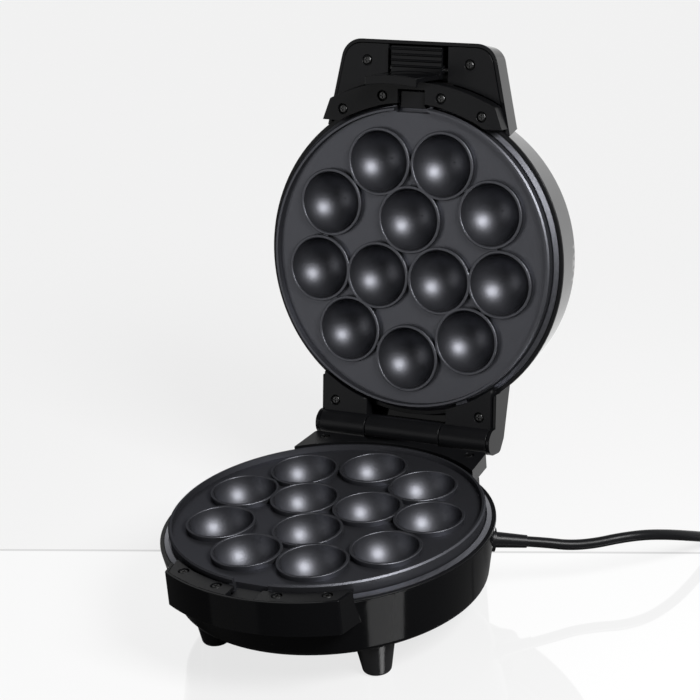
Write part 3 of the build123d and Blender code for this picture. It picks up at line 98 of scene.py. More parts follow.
backward = Vector((
    math.sin(camera_turn) * math.cos(camera_tilt),
    -math.cos(camera_turn) * math.cos(camera_tilt),
    math.sin(camera_tilt),
))
level_right = (-backward).cross(Vector((0, 0, 1))).normalized()
level_up = level_right.cross(-backward)
camera_right = level_right * math.cos(camera_roll) + level_up * math.sin(camera_roll)
camera_up = level_up * math.cos(camera_roll) - level_right * math.sin(camera_roll)
eye = aim + backward * camera_distance + camera_right * camera_across + camera_up * camera_above

lens = bpy.data.cameras.new("camera")
lens.sensor_width = 36.0
lens.lens = focal_pixels * lens.sensor_width / image_size
camera = bpy.data.objects.new("camera", lens)
camera.matrix_world = Matrix((
    (camera_right.x, camera_up.x, backward.x, eye.x),
    (camera_right.y, camera_up.y, backward.y, eye.y),
    (camera_right.z, camera_up.z, backward.z, eye.z),
    (0, 0, 0, 1),
))
scene.collection.objects.link(camera)
scene.camera = camera
scene.view_settings.view_transform = "Standard"
print("lens", round(lens.lens, 1), "mm, eye at", tuple(round(value, 3) for value in eye))

# %% [markdown]
# Shader maths reads best as plain expressions, so a small class wraps a node's output.
# Adding, subtracting or multiplying two wrapped outputs adds the Math node that does it.
# Every other node comes from one method, which sets its options first and its inputs next.

# %% A wrapped socket
class Signal:
    """One output of a node tree, with arithmetic."""

    def __init__(self, maker, socket):
        self.maker = maker
        self.socket = socket

    def maths(self, operation, first, second=None):
        inputs = {0: first} if second is None else {0: first, 1: second}
        return self.maker.node("ShaderNodeMath", {"operation": operation}, inputs)

    def __add__(self, other):
        return self.maths("ADD", self, other)

    def __radd__(self, other):
        return self.maths("ADD", other, self)

    def __sub__(self, other):
        return self.maths("SUBTRACT", self, other)

    def __rsub__(self, other):
        return self.maths("SUBTRACT", other, self)

    def __mul__(self, other):
        return self.maths("MULTIPLY", self, other)

    def __rmul__(self, other):
        return self.maths("MULTIPLY", other, self)

    def above(self, limit):
        return self.maths("GREATER_THAN", self, limit)

    def below(self, limit):
        return self.maths("LESS_THAN", self, limit)

    def at_most_one(self):
        return self.maths("MINIMUM", self, 1.0)

    def squared(self):
        return self.maths("MULTIPLY", self, self)

    def root(self):
        return self.maths("SQRT", self)

    def between(self, low, high):
        """The value low where this output is 0, high where it is 1."""
        return self * (high - low) + low

    def eased(self, low, high):
        """A smooth step from 0 at low to 1 at high."""
        return self.maker.node(
            "ShaderNodeMapRange",
            {"interpolation_type": "SMOOTHSTEP"},
            {"Value": self, "From Min": low, "From Max": high},
        )


# %% A tree builder
class Maker:
    """Builds one node tree."""

    def __init__(self, tree):
        self.tree = tree
        tree.nodes.clear()

    def node(self, kind, settings=None, inputs=None, output=0):
        made = self.tree.nodes.new(kind)
        for name, value in (settings or {}).items():
            setattr(made, name, value)
        for name, value in (inputs or {}).items():
            socket = made.inputs[name]
            if isinstance(value, Signal):
                self.tree.links.new(value.socket, socket)
            else:
                socket.default_value = value
        return Signal(self, made.outputs[output])

    def noise(self, scale, detail=3.0, roughness=0.5, stretch=(1, 1, 1)):
        """Noise on the object's own coordinates; scale is in cells per millimetre."""
        place = self.node("ShaderNodeTexCoord", output="Object")
        sized = self.node("ShaderNodeMapping", None, {"Vector": place, "Scale": stretch})
        return self.node("ShaderNodeTexNoise", None, {
            "Vector": sized,
            "Scale": scale / MM,
            "Detail": detail,
            "Roughness": roughness,
        })

    def bump(self, height, depth, strength=1.0):
        """A bump whose full height is depth, in millimetres."""
        return self.node("ShaderNodeBump", None, {
            "Height": height,
            "Distance": depth * MM,
            "Strength": strength,
        })

    def mix(self, share, first, second):
        """A colour between two colours."""
        return self.node(
            "ShaderNodeMix",
            {"data_type": "RGBA"},
            {0: share, 6: first, 7: second},
            output=2,
        )

    def surface(self, inputs):
        """One Principled shader with these inputs, as the surface that the tree gives."""
        skin = self.node("ShaderNodeBsdfPrincipled", None, inputs)
        out = self.tree.nodes.new("ShaderNodeOutputMaterial")
        self.tree.links.new(skin.socket, out.inputs["Surface"])


# %% A new material, and its neutral colours
def material(name):
    """A new material and the maker of its tree."""
    made = bpy.data.materials.new(name)
    made.use_nodes = True
    return made, Maker(made.node_tree)


def grey(value):
    """A neutral colour."""
    return (value, value, value, 1)


def cool(value):
    """A black or grey with a breath of blue, as these plastics and coatings have."""
    extra_green = 1.02
    extra_blue = 1.14
    return (value, value * extra_green, value * extra_blue, 1)


print("tree builder ready")

# %% [markdown]
# The counter is a glossy white board that studio light reaches from all round.
# The board mirrors the machine faintly, and a fine line marks where it ends behind the machine.
# Everything past the board is white to the camera, and so is the board away from the machine.
# A studio backdrop is brighter than white, so what the black plastic mirrors of it is stronger.
# Near the machine the board's own shading shows, which keeps the shadow under the feet.

# %% Counter
board_edge_left = Vector((-255.5, 8.6, 0)) * MM
board_edge_right = Vector((181.8, 142.5, 0)) * MM
board_line_width = 2.6 * MM
counter_reach = 6.0
near_ends = 0.20
far_begins = 0.85
glow_near = 0.76
glow_far = 0.81
shade_near = 0.14
shade_far = 0.04
shade_under_light = 0.11
line_darkness = 0.3
board_roughness = 0.03
backdrop_roughness = 0.63
board_ior = 1.9
backdrop_glare = 1.3


def counter_finish():
    """White board in front, white backdrop behind, both shaded only near the machine."""
    made, maker = material("white_board")
    edge = (board_edge_right - board_edge_left).normalized()
    place = maker.node("ShaderNodeTexCoord", output="Object")
    x = maker.node("ShaderNodeSeparateXYZ", None, {"Vector": place}, output="X")
    y = maker.node("ShaderNodeSeparateXYZ", None, {"Vector": place}, output="Y")
    across = (x - board_edge_left.x) * -edge.y
    behind = across + (y - board_edge_left.y) * edge.x
    past_edge = behind.above(0.0)
    on_line = behind.above(-board_line_width) * behind.below(0.0)
    away = (x.squared() + y.squared()).root()
    spread = away.eased(near_ends, far_begins)
    seen = maker.node("ShaderNodeLightPath", output="Is Camera Ray")
    mirrored = maker.node("ShaderNodeLightPath", output="Is Glossy Ray")
    through = maker.node("ShaderNodeLightPath", output="Is Transmission Ray")
    white_to = (seen + (mirrored + through) * past_edge).at_most_one()
    glow = white_to * spread.between(glow_near, glow_far) * (1 - on_line * line_darkness)
    shade = maker.mix(spread, grey(shade_near), grey(shade_far))
    maker.surface({
        "Base Color": maker.mix(white_to, grey(shade_under_light), shade),
        "Roughness": past_edge.between(board_roughness, backdrop_roughness),
        "Emission Color": maker.mix(glow, grey(0), grey(1)),
        "Emission Strength": (mirrored * past_edge).between(1, backdrop_glare),
        "IOR": board_ior,
    })
    return made


counter_mesh = bpy.data.meshes.new("counter")
counter_mesh.from_pydata([
    (-counter_reach, -counter_reach, 0),
    (counter_reach, -counter_reach, 0),
    (counter_reach, counter_reach, 0),
    (-counter_reach, counter_reach, 0),
], [], [(0, 1, 2, 3)])
counter = bpy.data.objects.new("counter", counter_mesh)
scene.collection.objects.link(counter)
counter.data.materials.append(counter_finish())
print("counter reaches", counter_reach, "m each way")

# %% [markdown]
# The light is a studio's, and its main lamp can be found from the cups.
# Every cup is a small round mirror, and all their highlights point to one place.
# That place is high on the camera's right, a little under a metre from the machine.
# A weaker wide lamp at the front left lifts the flat of the open lid.
# The camera sees neither lamp, only what they light and what mirrors them.

# %% Lamps
machine_middle = Vector((0, 0.04, 0.14))
key_place = Vector((0.73, -0.30, 0.78))
key_size = 0.40
key_power = 15.0
left_place = Vector((-1.1, -1.6, 0.45))
left_size = 1.1
left_power = 4.5


def soft_lamp(name, place, size, power):
    """A square soft lamp that faces the machine."""
    data = bpy.data.lights.new(name, "AREA")
    data.shape = "SQUARE"
    data.size = size
    data.energy = power
    lamp = bpy.data.objects.new(name, data)
    lamp.visible_camera = False
    turn = (machine_middle - place).to_track_quat("-Z", "Y").to_matrix().to_4x4()
    lamp.matrix_world = Matrix.Translation(place) @ turn
    scene.collection.objects.link(lamp)


soft_lamp("key_lamp", key_place, key_size, key_power)
soft_lamp("left_lamp", left_place, left_size, left_power)

# %% [markdown]
# The world is what the black plastic mirrors where no lamp stands.
# It is white behind the machine and dim in front, so the shells look black with pale edges.
# The white fades upwards, and right overhead only the dim part is left.

# %% World
rear_begins = 0.15
rear_full = 0.60
fade_begins = 0.10
fade_full = 0.34
fade_share = 0.40
top_begins = 0.5
top_full = 0.9
rear_level = 0.85
front_level = 0.08

world = bpy.data.worlds.new("studio")
scene.world = world
world.use_nodes = True
sky = Maker(world.node_tree)
view = sky.node("ShaderNodeTexCoord", output="Generated")
rearward = sky.node("ShaderNodeSeparateXYZ", None, {"Vector": view}, output="Y")
upward = sky.node("ShaderNodeSeparateXYZ", None, {"Vector": view}, output="Z")
faded = 1 - upward.eased(fade_begins, fade_full) * fade_share
below_top = 1 - upward.eased(top_begins, top_full)
rear_white = rearward.eased(rear_begins, rear_full) * faded * below_top
seen = sky.node("ShaderNodeLightPath", output="Is Camera Ray")
level = (rear_white * rear_level + front_level) * (1 - seen) + seen
light = sky.node("ShaderNodeBackground", None, {"Color": grey(1), "Strength": level})
world_out = world.node_tree.nodes.new("ShaderNodeOutputWorld")
world.node_tree.links.new(light.socket, world_out.inputs["Surface"])
print("world levels", front_level, "to", front_level + rear_level)

# %% [markdown]
# The mains lead is one fixed length of round black cable.
# It leaves the gland straight, sags to the counter and runs off to the right.
# Its unseen length lies wound in a neat coil outside the picture and ends in the plug.
# One smooth spline carries it all, so that the cable never kinks where its parts meet.

# %% The lead's way to its coil
cord_radius = 3.25 * MM
lead_waypoints = [
    (101.690, 61.102, 34.935),
    (111.799, 67.176, 32.718),
    (124.0, 74.0, 29.4),
    (137.0, 82.0, 28.8),
    (150.0, 91.0, 30.1),
    (162.0, 102.0, 28.8),
    (172.0, 115.0, 24.1),
    (180.0, 130.0, 17.2),
    (186.0, 146.0, 9.3),
    (192.0, 163.0, 4.4),
    (198.0, 180.0, 3.5),
    (201.4, 199.0, 3.3),
]
print(len(lead_waypoints), "points before the coil")

# %% The coil and the tail with the plug
coil_centre = (240.0, 212.0)
coil_radius = 38.6
coil_pitch = 8.6
coil_climb = 7.05
cord_height = 3.3
points_per_half_turn = 8
inward_half_turns = 2
climbing_half_turns = 1
outward_half_turns = 2
tail_waypoints = [
    (278.6, 199.0, 10.35),
    (280.1, 185.0, 12.95),
    (282.6, 171.0, 18.05),
    (282.6, 159.0, 18.05),
]


def coil_waypoints():
    """Two layers of turns: inwards along the counter, up one layer, and outwards on top."""
    points = []
    climbed = inward_half_turns + climbing_half_turns
    half_turns = climbed + outward_half_turns
    steps = half_turns * points_per_half_turn
    for step in range(steps + 1):
        turned = half_turns * step / steps
        inward = min(turned, inward_half_turns)
        outward = max(turned - climbed, 0)
        radius = coil_radius - (inward - outward) * coil_pitch / 2
        rise = min(max(turned - inward_half_turns, 0) / climbing_half_turns, 1)
        height = cord_height + coil_climb * rise * rise * (3 - 2 * rise)
        angle = math.pi * (1 - turned)
        points.append((
            coil_centre[0] + radius * math.cos(angle),
            coil_centre[1] + radius * math.sin(angle),
            height,
        ))
    return points


print(len(coil_waypoints()), "points in the coil,", len(tail_waypoints), "after it")

# %% The lead itself
cord_roundness = 8
cord_steps_per_point = 8
cord_smoothness = 3


def cord_curve(name, points, radius):
    """A round cable along one smooth spline, whose points carry its radius."""
    curve = bpy.data.curves.new(name, "CURVE")
    curve.dimensions = "3D"
    curve.bevel_depth = 1.0
    curve.bevel_resolution = cord_roundness
    curve.resolution_u = cord_steps_per_point
    curve.use_fill_caps = True
    spline = curve.splines.new("NURBS")
    spline.points.add(len(points) - 1)
    for point, place in zip(spline.points, points):
        point.co = (place[0] * MM, place[1] * MM, place[2] * MM, 1)
        point.radius = radius
    spline.order_u = cord_smoothness
    spline.use_endpoint_u = True
    made = bpy.data.objects.new(name, curve)
    scene.collection.objects.link(made)
    return made


all_waypoints = lead_waypoints + coil_waypoints() + tail_waypoints
mains_lead = cord_curve("mains_lead", all_waypoints, cord_radius)
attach(mains_lead, "base")
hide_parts("power_cord", "cord_coil", "cord_tail")
print("lead has", len(mains_lead.data.splines[0].points), "control points")

# %% [markdown]
# The finishes follow: each is a small tree whose grain is measured in millimetres.
# The first is the shells' plastic, which comes out of its mould as smooth as a mirror.
# Real parts are never quite flat, so a slow wave bends what they mirror, and dust greys them.

# %% Glossy black plastic
def gloss_finish():
    """Injection-moulded black plastic: a mirror skin that waves very slightly."""
    made, maker = material("gloss_black_plastic")
    dust_limit = 0.66
    dust_share = 0.25
    wave = maker.noise(scale=0.03, detail=2.0)
    dust = maker.noise(scale=1.6, detail=6.0, roughness=0.7).above(dust_limit)
    maker.surface({
        "Base Color": maker.mix(dust * dust_share, cool(0.004), cool(0.03)),
        "Roughness": wave.between(0.05, 0.13),
        "IOR": 1.27,
        "Specular IOR Level": 0.3,
        "Normal": maker.bump(wave, depth=0.25, strength=0.12),
    })
    return made


# %% [markdown]
# The frames, the grip and the latch come from an etched mould, so they are dull.
# A tight even grain bends the light in every direction, which a bump gives cheaply.

# %% Matte black plastic
def matte_finish():
    """Black plastic from a finely etched mould: a tight even grain that breaks the shine."""
    made, maker = material("matte_black_plastic")
    grain = maker.noise(scale=3.2, detail=2.0, roughness=0.6)
    patch = maker.noise(scale=0.06, detail=2.0)
    maker.surface({
        "Base Color": maker.mix(patch, cool(0.0035), cool(0.0065)),
        "Roughness": patch.between(0.30, 0.38),
        "IOR": 1.28,
        "Specular IOR Level": 0.42,
        "Normal": maker.bump(grain, depth=0.03, strength=0.6),
    })
    return made


# %% [markdown]
# The plates are cast aluminium with a sprayed non-stick coating.
# The coating is satin and a little metallic, so each cup mirrors the lamp as a soft spot.
# The spray leaves an orange-peel grain, which a bump gives.

# %% Non-stick coating
def coating_finish():
    """Charcoal non-stick paint on cast metal: satin, with a sprayed orange-peel grain."""
    made, maker = material("charcoal_coating")
    peel = maker.noise(scale=1.3, detail=3.0, roughness=0.6)
    speck = maker.noise(scale=4.0, detail=1.0)
    maker.surface({
        "Base Color": maker.mix(speck, cool(0.090), cool(0.132)),
        "Metallic": 0.93,
        "Specular Tint": grey(0.05),
        "Roughness": peel.between(0.40, 0.50),
        "Normal": maker.bump(peel, depth=0.08, strength=1.0),
    })
    return made


# %% [markdown]
# Inside, the machine has rolled sheet and drawn or plated steel.
# Sheet shows lines in its rolling direction, so its noise is stretched along one axis.
# Steel pieces differ only in shade and shine, so one function makes them all.

# %% Metals
def sheet_finish():
    """Aluminium sheet dulled by baking, with faint lines from rolling."""
    made, maker = material("bright_sheet")
    lines = maker.noise(scale=0.8, detail=2.0, stretch=(1.0, 0.04, 1.0))
    maker.surface({
        "Base Color": maker.mix(lines, cool(0.17), cool(0.25)),
        "Metallic": 1.0,
        "Roughness": lines.between(0.30, 0.42),
    })
    return made


def steel_finish(name, dark, light, roughness):
    """Plated or drawn steel with a little mottling."""
    made, maker = material(name)
    roughness_spread = 0.12
    mottle = maker.noise(scale=1.2, detail=4.0, roughness=0.6)
    maker.surface({
        "Base Color": maker.mix(mottle, grey(dark), grey(light)),
        "Metallic": 1.0,
        "Roughness": mottle * roughness_spread + roughness,
    })
    return made


# %% [markdown]
# The lead has a jacket of soft plastic, and a few small pieces have a colour of their own.
# Both are plain plastics with a faint mottle, because an even colour looks like paint.

# %% Cable jacket and coloured plastics
def jacket_finish():
    """Smooth flexible plastic of a mains lead, a little duller than the shell."""
    made, maker = material("cable_jacket")
    wear = maker.noise(scale=0.5, detail=4.0, roughness=0.6)
    maker.surface({
        "Base Color": maker.mix(wear, cool(0.006), cool(0.010)),
        "Roughness": wear.between(0.26, 0.40),
        "IOR": 1.33,
        "Specular IOR Level": 0.3,
        "Normal": maker.bump(wear, depth=0.05, strength=0.25),
    })
    return made


def plain_finish(name, low, high, roughness):
    """A moulded colour with a faint mottle."""
    made, maker = material(name)
    roughness_spread = 0.1
    mottle = maker.noise(scale=0.8, detail=3.0, roughness=0.55)
    maker.surface({
        "Base Color": maker.mix(mottle, (*low, 1), (*high, 1)),
        "Roughness": mottle * roughness_spread + roughness,
    })
    return made


# %% [markdown]
# Every machine piece names the finish that it has, so one table holds them all.
# The pieces then get their finishes in a loop.

# %% Finishes onto the machine's own pieces
finishes = {
    "gloss_black": gloss_finish(),
    "matte_black": matte_finish(),
    "nonstick": coating_finish(),
    "bright_aluminium": sheet_finish(),
    "cord_black": jacket_finish(),
}
for slot_name, (name, dark, light, roughness) in {
    "element_steel": ("element_sheath", 0.20, 0.30, 0.42),
    "spring_steel": ("spring_wire", 0.45, 0.60, 0.25),
    "screw_steel": ("dark_zinc", 0.05, 0.09, 0.32),
    "pin_steel": ("turned_steel", 0.42, 0.55, 0.22),
}.items():
    finishes[slot_name] = steel_finish(name, dark, light, roughness)
for slot_name, (name, low, high, roughness) in {
    "foot_plastic": ("foot_plastic", (0.010, 0.010, 0.011), (0.016, 0.016, 0.017), 0.18),
    "block_plastic": ("cream_plastic", (0.62, 0.58, 0.47), (0.70, 0.66, 0.55), 0.45),
    "wire_white": ("heat_proof_sleeve", (0.60, 0.60, 0.57), (0.72, 0.72, 0.69), 0.6),
    "red_lens": ("red_lens", (0.42, 0.01, 0.01), (0.55, 0.02, 0.02), 0.12),
    "green_lens": ("green_lens", (0.01, 0.28, 0.05), (0.02, 0.40, 0.08), 0.12),
}.items():
    finishes[slot_name] = plain_finish(name, low, high, roughness)
slot_of = {
    entry["node"]: entry["material_slot"] for entry in frame["record"]["subparts"]
}
for name, piece in nodes.items():
    piece.data.materials.clear()
    piece.data.materials.append(finishes[slot_of[name]])
mains_lead.data.materials.append(finishes["cord_black"])
print(len(finishes), "finishes on", len(nodes), "pieces and the lead")

# %% [markdown]
# A moulded piece never has a knife edge: the corner of the mould is a little round.
# That tiny round catches the light as a fine bright line, which tells the eye it is plastic.
# It could be faked in the shading, but a real one also shows on the outline.
# The plastic pieces that show are therefore copied, and a narrow bevel goes round each.
# An edge that is too close to others has no room for its round, so it is found and stays sharp.
# The flats keep the shading they had, so they stay flat right up to the narrow rounds.

# %% A piece's mesh and body
def plain_mesh(piece):
    """The mesh that a piece shows, with its modifiers worked in."""
    shown = piece.evaluated_get(bpy.context.evaluated_depsgraph_get())
    return bpy.data.meshes.new_from_object(shown)


def body_of(name):
    """The moving body that a machine piece belongs to."""
    return nodes[name].parent.name.removeprefix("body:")


print("the tub belongs to", body_of("base_shell"))

# %% Where a round has no room
in_plane = 0.01 * MM
folded_facing = -0.5


def pull_back(mesh, skin, reach):
    """Corners where rounds collide can shoot off; they go back to the nearest old surface."""
    strays = 0
    for vertex in mesh.vertices:
        place, _, _, distance = skin.find_nearest(vertex.co)
        if distance > reach:
            vertex.co = place
            strays += 1
    return strays


def folded_corners(mesh, skin):
    """Corners of faces that lie in an old face but look the other way."""
    corners = set()
    for polygon in mesh.polygons:
        _, facing, _, distance = skin.find_nearest(polygon.center)
        if distance < in_plane and facing.dot(polygon.normal) < folded_facing:
            corners.update(polygon.vertices)
    return [mesh.vertices[corner].co.copy() for corner in corners]


def keep_sharp_near(work, weight, places, reach):
    """Edges that pass close to one of the places lose their round."""
    tree = KDTree(len(places))
    for index, place in enumerate(places):
        tree.insert(place, index)
    tree.balance()
    for edge in work.edges:
        if edge[weight] == 0:
            continue
        first, second = (vertex.co for vertex in edge.verts)
        radius = (second - first).length / 2 + reach
        for place, _, _ in tree.find_range((first + second) / 2, radius):
            share = intersect_point_line(place, first, second)[1]
            if (first.lerp(second, min(max(share, 0), 1)) - place).length < reach:
                edge[weight] = 0
                break


print("a folded face turns more than", round(math.degrees(math.acos(folded_facing))), "degrees")

# %% Shading of the flats and the rounds
same_facing = math.cos(math.radians(6.0))
probe_share = 0.02


def face_direction(source, directions, index, place):
    """The direction that an old face is shaded with at a place on it."""
    face = source.polygons[index]
    shares = poly_3d_calc([source.vertices[corner].co for corner in face.vertices], place)
    blend = Vector((0, 0, 0))
    for share, corner in zip(shares, face.loop_indices):
        blend += directions[corner] * share
    return blend.normalized()


def shade_like(mesh, source, skin):
    """The old faces keep the machine piece's own shading, and the rounds run between them."""
    directions = [Vector(corner.vector) for corner in source.corner_normals]
    chosen = [None] * len(mesh.loops)
    flats = {}
    for polygon in mesh.polygons:
        for loop in polygon.loop_indices:
            vertex = mesh.loops[loop].vertex_index
            probe = mesh.vertices[vertex].co.lerp(polygon.center, probe_share)
            place, facing, index, _ = skin.find_nearest(probe)
            if facing.dot(polygon.normal) < same_facing:
                continue
            chosen[loop] = face_direction(source, directions, index, place)
            flats.setdefault(vertex, []).append(chosen[loop])
    for loop, direction in enumerate(chosen):
        if direction is None:
            vertex = mesh.loops[loop].vertex_index
            near = sum(flats.get(vertex, []), Vector((0, 0, 0)))
            if near.length == 0:
                near = mesh.vertices[vertex].normal
            chosen[loop] = near.normalized()
    mesh.normals_split_custom_set(chosen)


print("a flat turns less than", round(math.degrees(math.acos(same_facing))), "degrees")

# %% The softened copies
edge_round = 0.35 * MM
merge_distance = 0.002 * MM
flat_angle = math.radians(1.0)
edge_angle = math.radians(38)
most_corners = 4
round_steps = 2
round_attempts = 6
crowded_within = 1.5


def merged_work(mesh):
    """A machine piece's loose triangles as one closed skin of larger faces."""
    work = bmesh.new()
    work.from_mesh(mesh)
    bmesh.ops.remove_doubles(work, verts=work.verts, dist=merge_distance)
    bmesh.ops.dissolve_limit(work, angle_limit=flat_angle, verts=work.verts, edges=work.edges)
    large = [face for face in work.faces if len(face.verts) > most_corners]
    bmesh.ops.triangulate(work, faces=large)
    return work


def rounded_mesh(piece, width):
    """The piece's mesh with a bevel on every edge that has a weight."""
    bevel = piece.modifiers.new("edge_round", "BEVEL")
    bevel.width = width
    bevel.segments = round_steps
    bevel.limit_method = "WEIGHT"
    bevel.use_clamp_overlap = False
    finished = plain_mesh(piece)
    piece.modifiers.clear()
    return finished


def softened(name, piece_name, width):
    """A copy of a machine piece with its edges rounded, which takes the piece's place."""
    source = nodes[name].data
    mesh = source.copy()
    work = merged_work(mesh)
    weight = work.edges.layers.float.new("bevel_weight_edge")
    for face in work.faces:
        face.smooth = True
    for edge in work.edges:
        if len(edge.link_faces) == 2 and edge.calc_face_angle() > edge_angle:
            edge[weight] = 1
    sharp = sum(edge[weight] > 0 for edge in work.edges)
    skin = BVHTree.FromPolygons(
        [vertex.co for vertex in source.vertices],
        [tuple(polygon.vertices) for polygon in source.polygons],
    )
    piece = bpy.data.objects.new(piece_name, mesh)
    scene.collection.objects.link(piece)
    for _ in range(round_attempts):
        work.to_mesh(mesh)
        finished = rounded_mesh(piece, width)
        rounded = sum(edge[weight] > 0 for edge in work.edges)
        places = folded_corners(finished, skin)
        if not places:
            break
        keep_sharp_near(work, weight, places, width * crowded_within)
    work.free()
    strays = pull_back(finished, skin, width)
    shade_like(finished, source, skin)
    print(piece_name, len(finished.polygons), "faces,", rounded, "of", sharp, "edges rounded,",
          len(places), "folded corners,", strays, "pulled back")
    piece.data = finished
    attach(piece, body_of(name))
    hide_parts(name)


for name, piece_name in {
    "base_shell": "base_tub",
    "lid_shell": "lid_dome",
    "base_frame": "base_trim",
    "lid_frame": "lid_trim",
    "lid_handle_cover": "handle_face",
    "lid_latch": "latch_lever",
    "lower_plate_release": "lower_release_button",
    "upper_plate_release": "upper_release_button",
}.items():
    softened(name, piece_name, edge_round)

# %% [markdown]
# Behind each release button sits a coil spring, which the button presses shorter as it goes in.
# The spring moves with its button, so its far end has to stay against the wall.
# The copy that shows takes the spring's place. The share of its length that it would keep at
# full travel is worked out and printed, but the copy does not shorten.

# %% Springs behind the release buttons
spring_spare = 0.1 * MM


def yielding_spring(side):
    """A copy of a release spring that takes its place; it does not shorten, and only the share
    of its length that it would keep is printed.
    """
    name = f"{side}_release_spring"
    slide = joints[f"{side}_release_slide"]
    along = Vector(slide["axis"]).normalized()
    places = [vertex.co.dot(along) for vertex in nodes[name].data.vertices]
    near, far = min(places), max(places)
    keep = 1 - (slide["range_m"][1] + spring_spare) / (far - near)
    piece = bpy.data.objects.new(f"{side}_button_spring", nodes[name].data.copy())
    scene.collection.objects.link(piece)
    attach(piece, body_of(name))
    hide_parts(name)
    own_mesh(piece)
    print(piece.name, round((far - near) / MM, 1), "mm long, keeps", round(keep, 3))


yielding_spring("lower")
yielding_spring("upper")

# %% [markdown]
# The plug's tapered neck has ribs, so that the cable bends evenly where it enters.
# Ribs repeat along a line, which is work for Geometry Nodes.
# A line of points runs down the neck, a ring stands on each, and the rings grow with it.

# %% A builder of geometry trees
class Growth:
    """Builds one geometry tree with named inputs."""

    def __init__(self, name, sizes):
        self.tree = bpy.data.node_groups.new(name, "GeometryNodeTree")
        self.names = {}
        sockets = self.tree.interface
        sockets.new_socket("Geometry", in_out="INPUT", socket_type="NodeSocketGeometry")
        for label, kind in sizes.items():
            socket = sockets.new_socket(label, in_out="INPUT", socket_type=kind)
            self.names[label] = socket.identifier
        sockets.new_socket("Geometry", in_out="OUTPUT", socket_type="NodeSocketGeometry")
        self.source = self.tree.nodes.new("NodeGroupInput")
        self.sink = self.tree.nodes.new("NodeGroupOutput")

    def size(self, label):
        return self.source.outputs[label]

    def node(self, kind, settings=None, inputs=None):
        made = self.tree.nodes.new(kind)
        for name, value in (settings or {}).items():
            setattr(made, name, value)
        for name, value in (inputs or {}).items():
            if isinstance(value, bpy.types.NodeSocket):
                self.tree.links.new(value, made.inputs[name])
            else:
                made.inputs[name].default_value = value
        return made

    def finish(self, geometry, finish):
        """Real geometry with its material, as the tree's result."""
        real = self.node("GeometryNodeRealizeInstances", None, {"Geometry": geometry})
        dressed = self.node("GeometryNodeSetMaterial", None, {
            "Geometry": real.outputs[0],
            "Material": finish,
        })
        self.tree.links.new(dressed.outputs[0], self.sink.inputs[0])


print("geometry tree builder ready")

# %% A piece from a geometry tree
def grown_piece(name, growth, values, body):
    """Runs a geometry tree once and keeps its result as a plain mesh piece."""
    piece = bpy.data.objects.new(name, bpy.data.meshes.new(name))
    scene.collection.objects.link(piece)
    grow = piece.modifiers.new("grow", "NODES")
    grow.node_group = growth.tree
    for label, value in values.items():
        grow[growth.names[label]] = value
    finished = plain_mesh(piece)
    piece.modifiers.clear()
    piece.data = finished
    for face in finished.polygons:
        face.use_smooth = True
    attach(piece, body)
    print(name, len(finished.polygons), "faces")


# %% The tree of the ribs
rib_corners = 32
rib_section_corners = 10


def neck_ribs():
    """Rings along a line, each larger than the one before, with a round section."""
    growth = Growth("neck_ribs", {
        "Count": "NodeSocketInt",
        "Start": "NodeSocketVector",
        "End": "NodeSocketVector",
        "First radius": "NodeSocketFloat",
        "Last radius": "NodeSocketFloat",
        "Thickness": "NodeSocketFloat",
    })
    line = growth.node("GeometryNodeMeshLine", {"mode": "END_POINTS"}, {
        "Count": growth.size("Count"),
        "Start Location": growth.size("Start"),
        "Offset": growth.size("End"),
    })
    axis = growth.node("ShaderNodeVectorMath", {"operation": "SUBTRACT"}, {
        0: growth.size("End"),
        1: growth.size("Start"),
    })
    turn = growth.node("FunctionNodeAlignRotationToVector", {"axis": "Z"}, {
        "Vector": axis.outputs[0],
    })
    index = growth.node("GeometryNodeInputIndex")
    last = growth.node("ShaderNodeMath", {"operation": "SUBTRACT"}, {
        0: growth.size("Count"),
        1: 1.0,
    })
    radius = growth.node("ShaderNodeMapRange", None, {
        "Value": index.outputs[0],
        "From Max": last.outputs[0],
        "To Min": growth.size("First radius"),
        "To Max": growth.size("Last radius"),
    })
    circle = growth.node("GeometryNodeCurvePrimitiveCircle", {"mode": "RADIUS"}, {
        "Resolution": rib_corners,
        "Radius": 1.0,
    })
    placed = growth.node("GeometryNodeInstanceOnPoints", None, {
        "Points": line.outputs[0],
        "Instance": circle.outputs[0],
        "Rotation": turn.outputs[0],
        "Scale": radius.outputs[0],
    })
    rings = growth.node("GeometryNodeRealizeInstances", None, {"Geometry": placed.outputs[0]})
    section = growth.node("GeometryNodeCurvePrimitiveCircle", {"mode": "RADIUS"}, {
        "Resolution": rib_section_corners,
        "Radius": growth.size("Thickness"),
    })
    solid = growth.node("GeometryNodeCurveToMesh", None, {
        "Curve": rings.outputs[0],
        "Profile Curve": section.outputs[0],
    })
    growth.finish(solid.outputs[0], finishes["matte_black"])
    return growth


# %% Ribs of the plug's neck
neck_start = Vector(tail_waypoints[-1]) * MM
neck_length = 18.0 * MM
neck_first_radius = 3.9 * MM
neck_last_radius = 7.8 * MM
rib_count = 6
rib_thickness = 0.6 * MM
rib_first_share = 0.16
rib_last_share = 0.86

neck_span = Vector((0, -neck_length, 0))
neck_growth = neck_last_radius - neck_first_radius
grown_piece("plug_neck_ribs", neck_ribs(), {
    "Count": rib_count,
    "Start": neck_start + neck_span * rib_first_share,
    "End": neck_start + neck_span * rib_last_share,
    "First radius": neck_first_radius + neck_growth * rib_first_share,
    "Last radius": neck_first_radius + neck_growth * rib_last_share,
    "Thickness": rib_thickness,
}, "base")

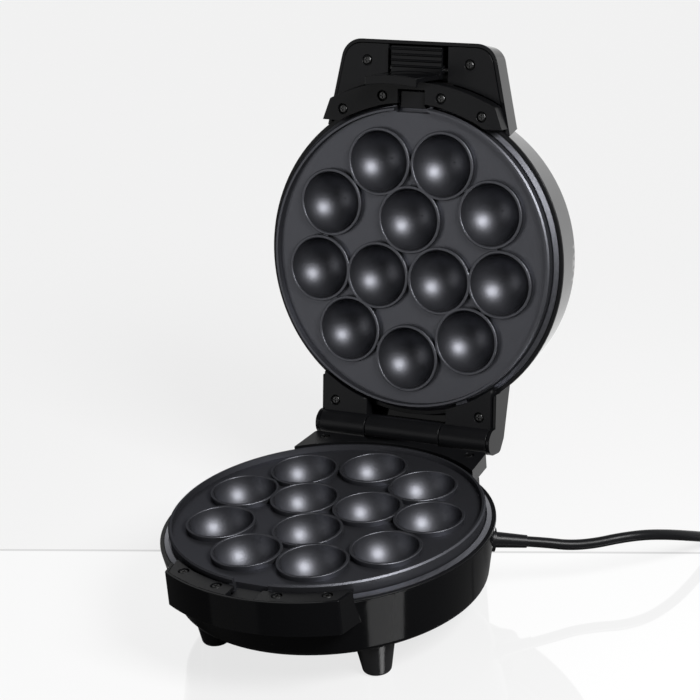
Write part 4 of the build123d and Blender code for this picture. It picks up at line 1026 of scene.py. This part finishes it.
# %% [markdown]
# A coil of cable that is put away is held by a small strap.
# This one is a flat band bent round the two layers of the coil, with its end left over.
# The band is made directly as rings of four corners, because its path is a simple oval.

# %% Strap round the coil
strap_middle = Vector((240.0, 179.85, 7.075)) * MM
strap_half_gap = 3.275 * MM
strap_bend = 3.35 * MM
strap_width = 5.0 * MM
strap_thickness = 0.45 * MM
strap_steps = 40
strap_top = 0.25
strap_tail_steps = 6
strap_tail_step = 1.6 * MM
strap_tail_rise = 0.25
strap_tail_droop = 0.12


def oval_place(share, radius):
    """A point on the upright oval, and the direction away from its middle."""
    angle = 2 * math.pi * share
    outward = Vector((0, math.cos(angle), math.sin(angle)))
    lift = strap_half_gap if math.sin(angle) >= 0 else -strap_half_gap
    return strap_middle + Vector((0, 0, lift)) + outward * radius, outward


def strap_path():
    """Places along the inside of the band, each with the direction of its thickness."""
    path = []
    for step in range(strap_steps + 1):
        path.append(oval_place(strap_top - step / strap_steps, strap_bend))
    end, outward = path[-1]
    for step in range(1, strap_tail_steps + 1):
        slope = Vector((0, 1, strap_tail_rise - strap_tail_droop * step)).normalized()
        end = end + slope * strap_tail_step
        path.append((end + outward * strap_thickness, Vector((0, -slope.z, slope.y))))
    return path


def coil_strap():
    """The band as one closed skin of four sides and two ends."""
    work = bmesh.new()
    loops = []
    for place, away in strap_path():
        corners = []
        for side, depth in ((-1, 0), (1, 0), (1, 1), (-1, 1)):
            offset = Vector((side * strap_width / 2, 0, 0)) + away * depth * strap_thickness
            corners.append(work.verts.new(place + offset))
        loops.append(corners)
    for first, second in zip(loops, loops[1:]):
        for index in range(4):
            after = (index + 1) % 4
            work.faces.new((first[index], first[after], second[after], second[index]))
    work.faces.new(loops[0])
    work.faces.new(loops[-1])
    bmesh.ops.recalc_face_normals(work, faces=work.faces)
    mesh = bpy.data.meshes.new("coil_strap")
    work.to_mesh(mesh)
    work.free()
    piece = bpy.data.objects.new("coil_strap", mesh)
    scene.collection.objects.link(piece)
    mesh.materials.append(finishes["matte_black"])
    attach(piece, "base")
    return piece


strap = coil_strap()
print("strap", len(strap.data.polygons), "faces")
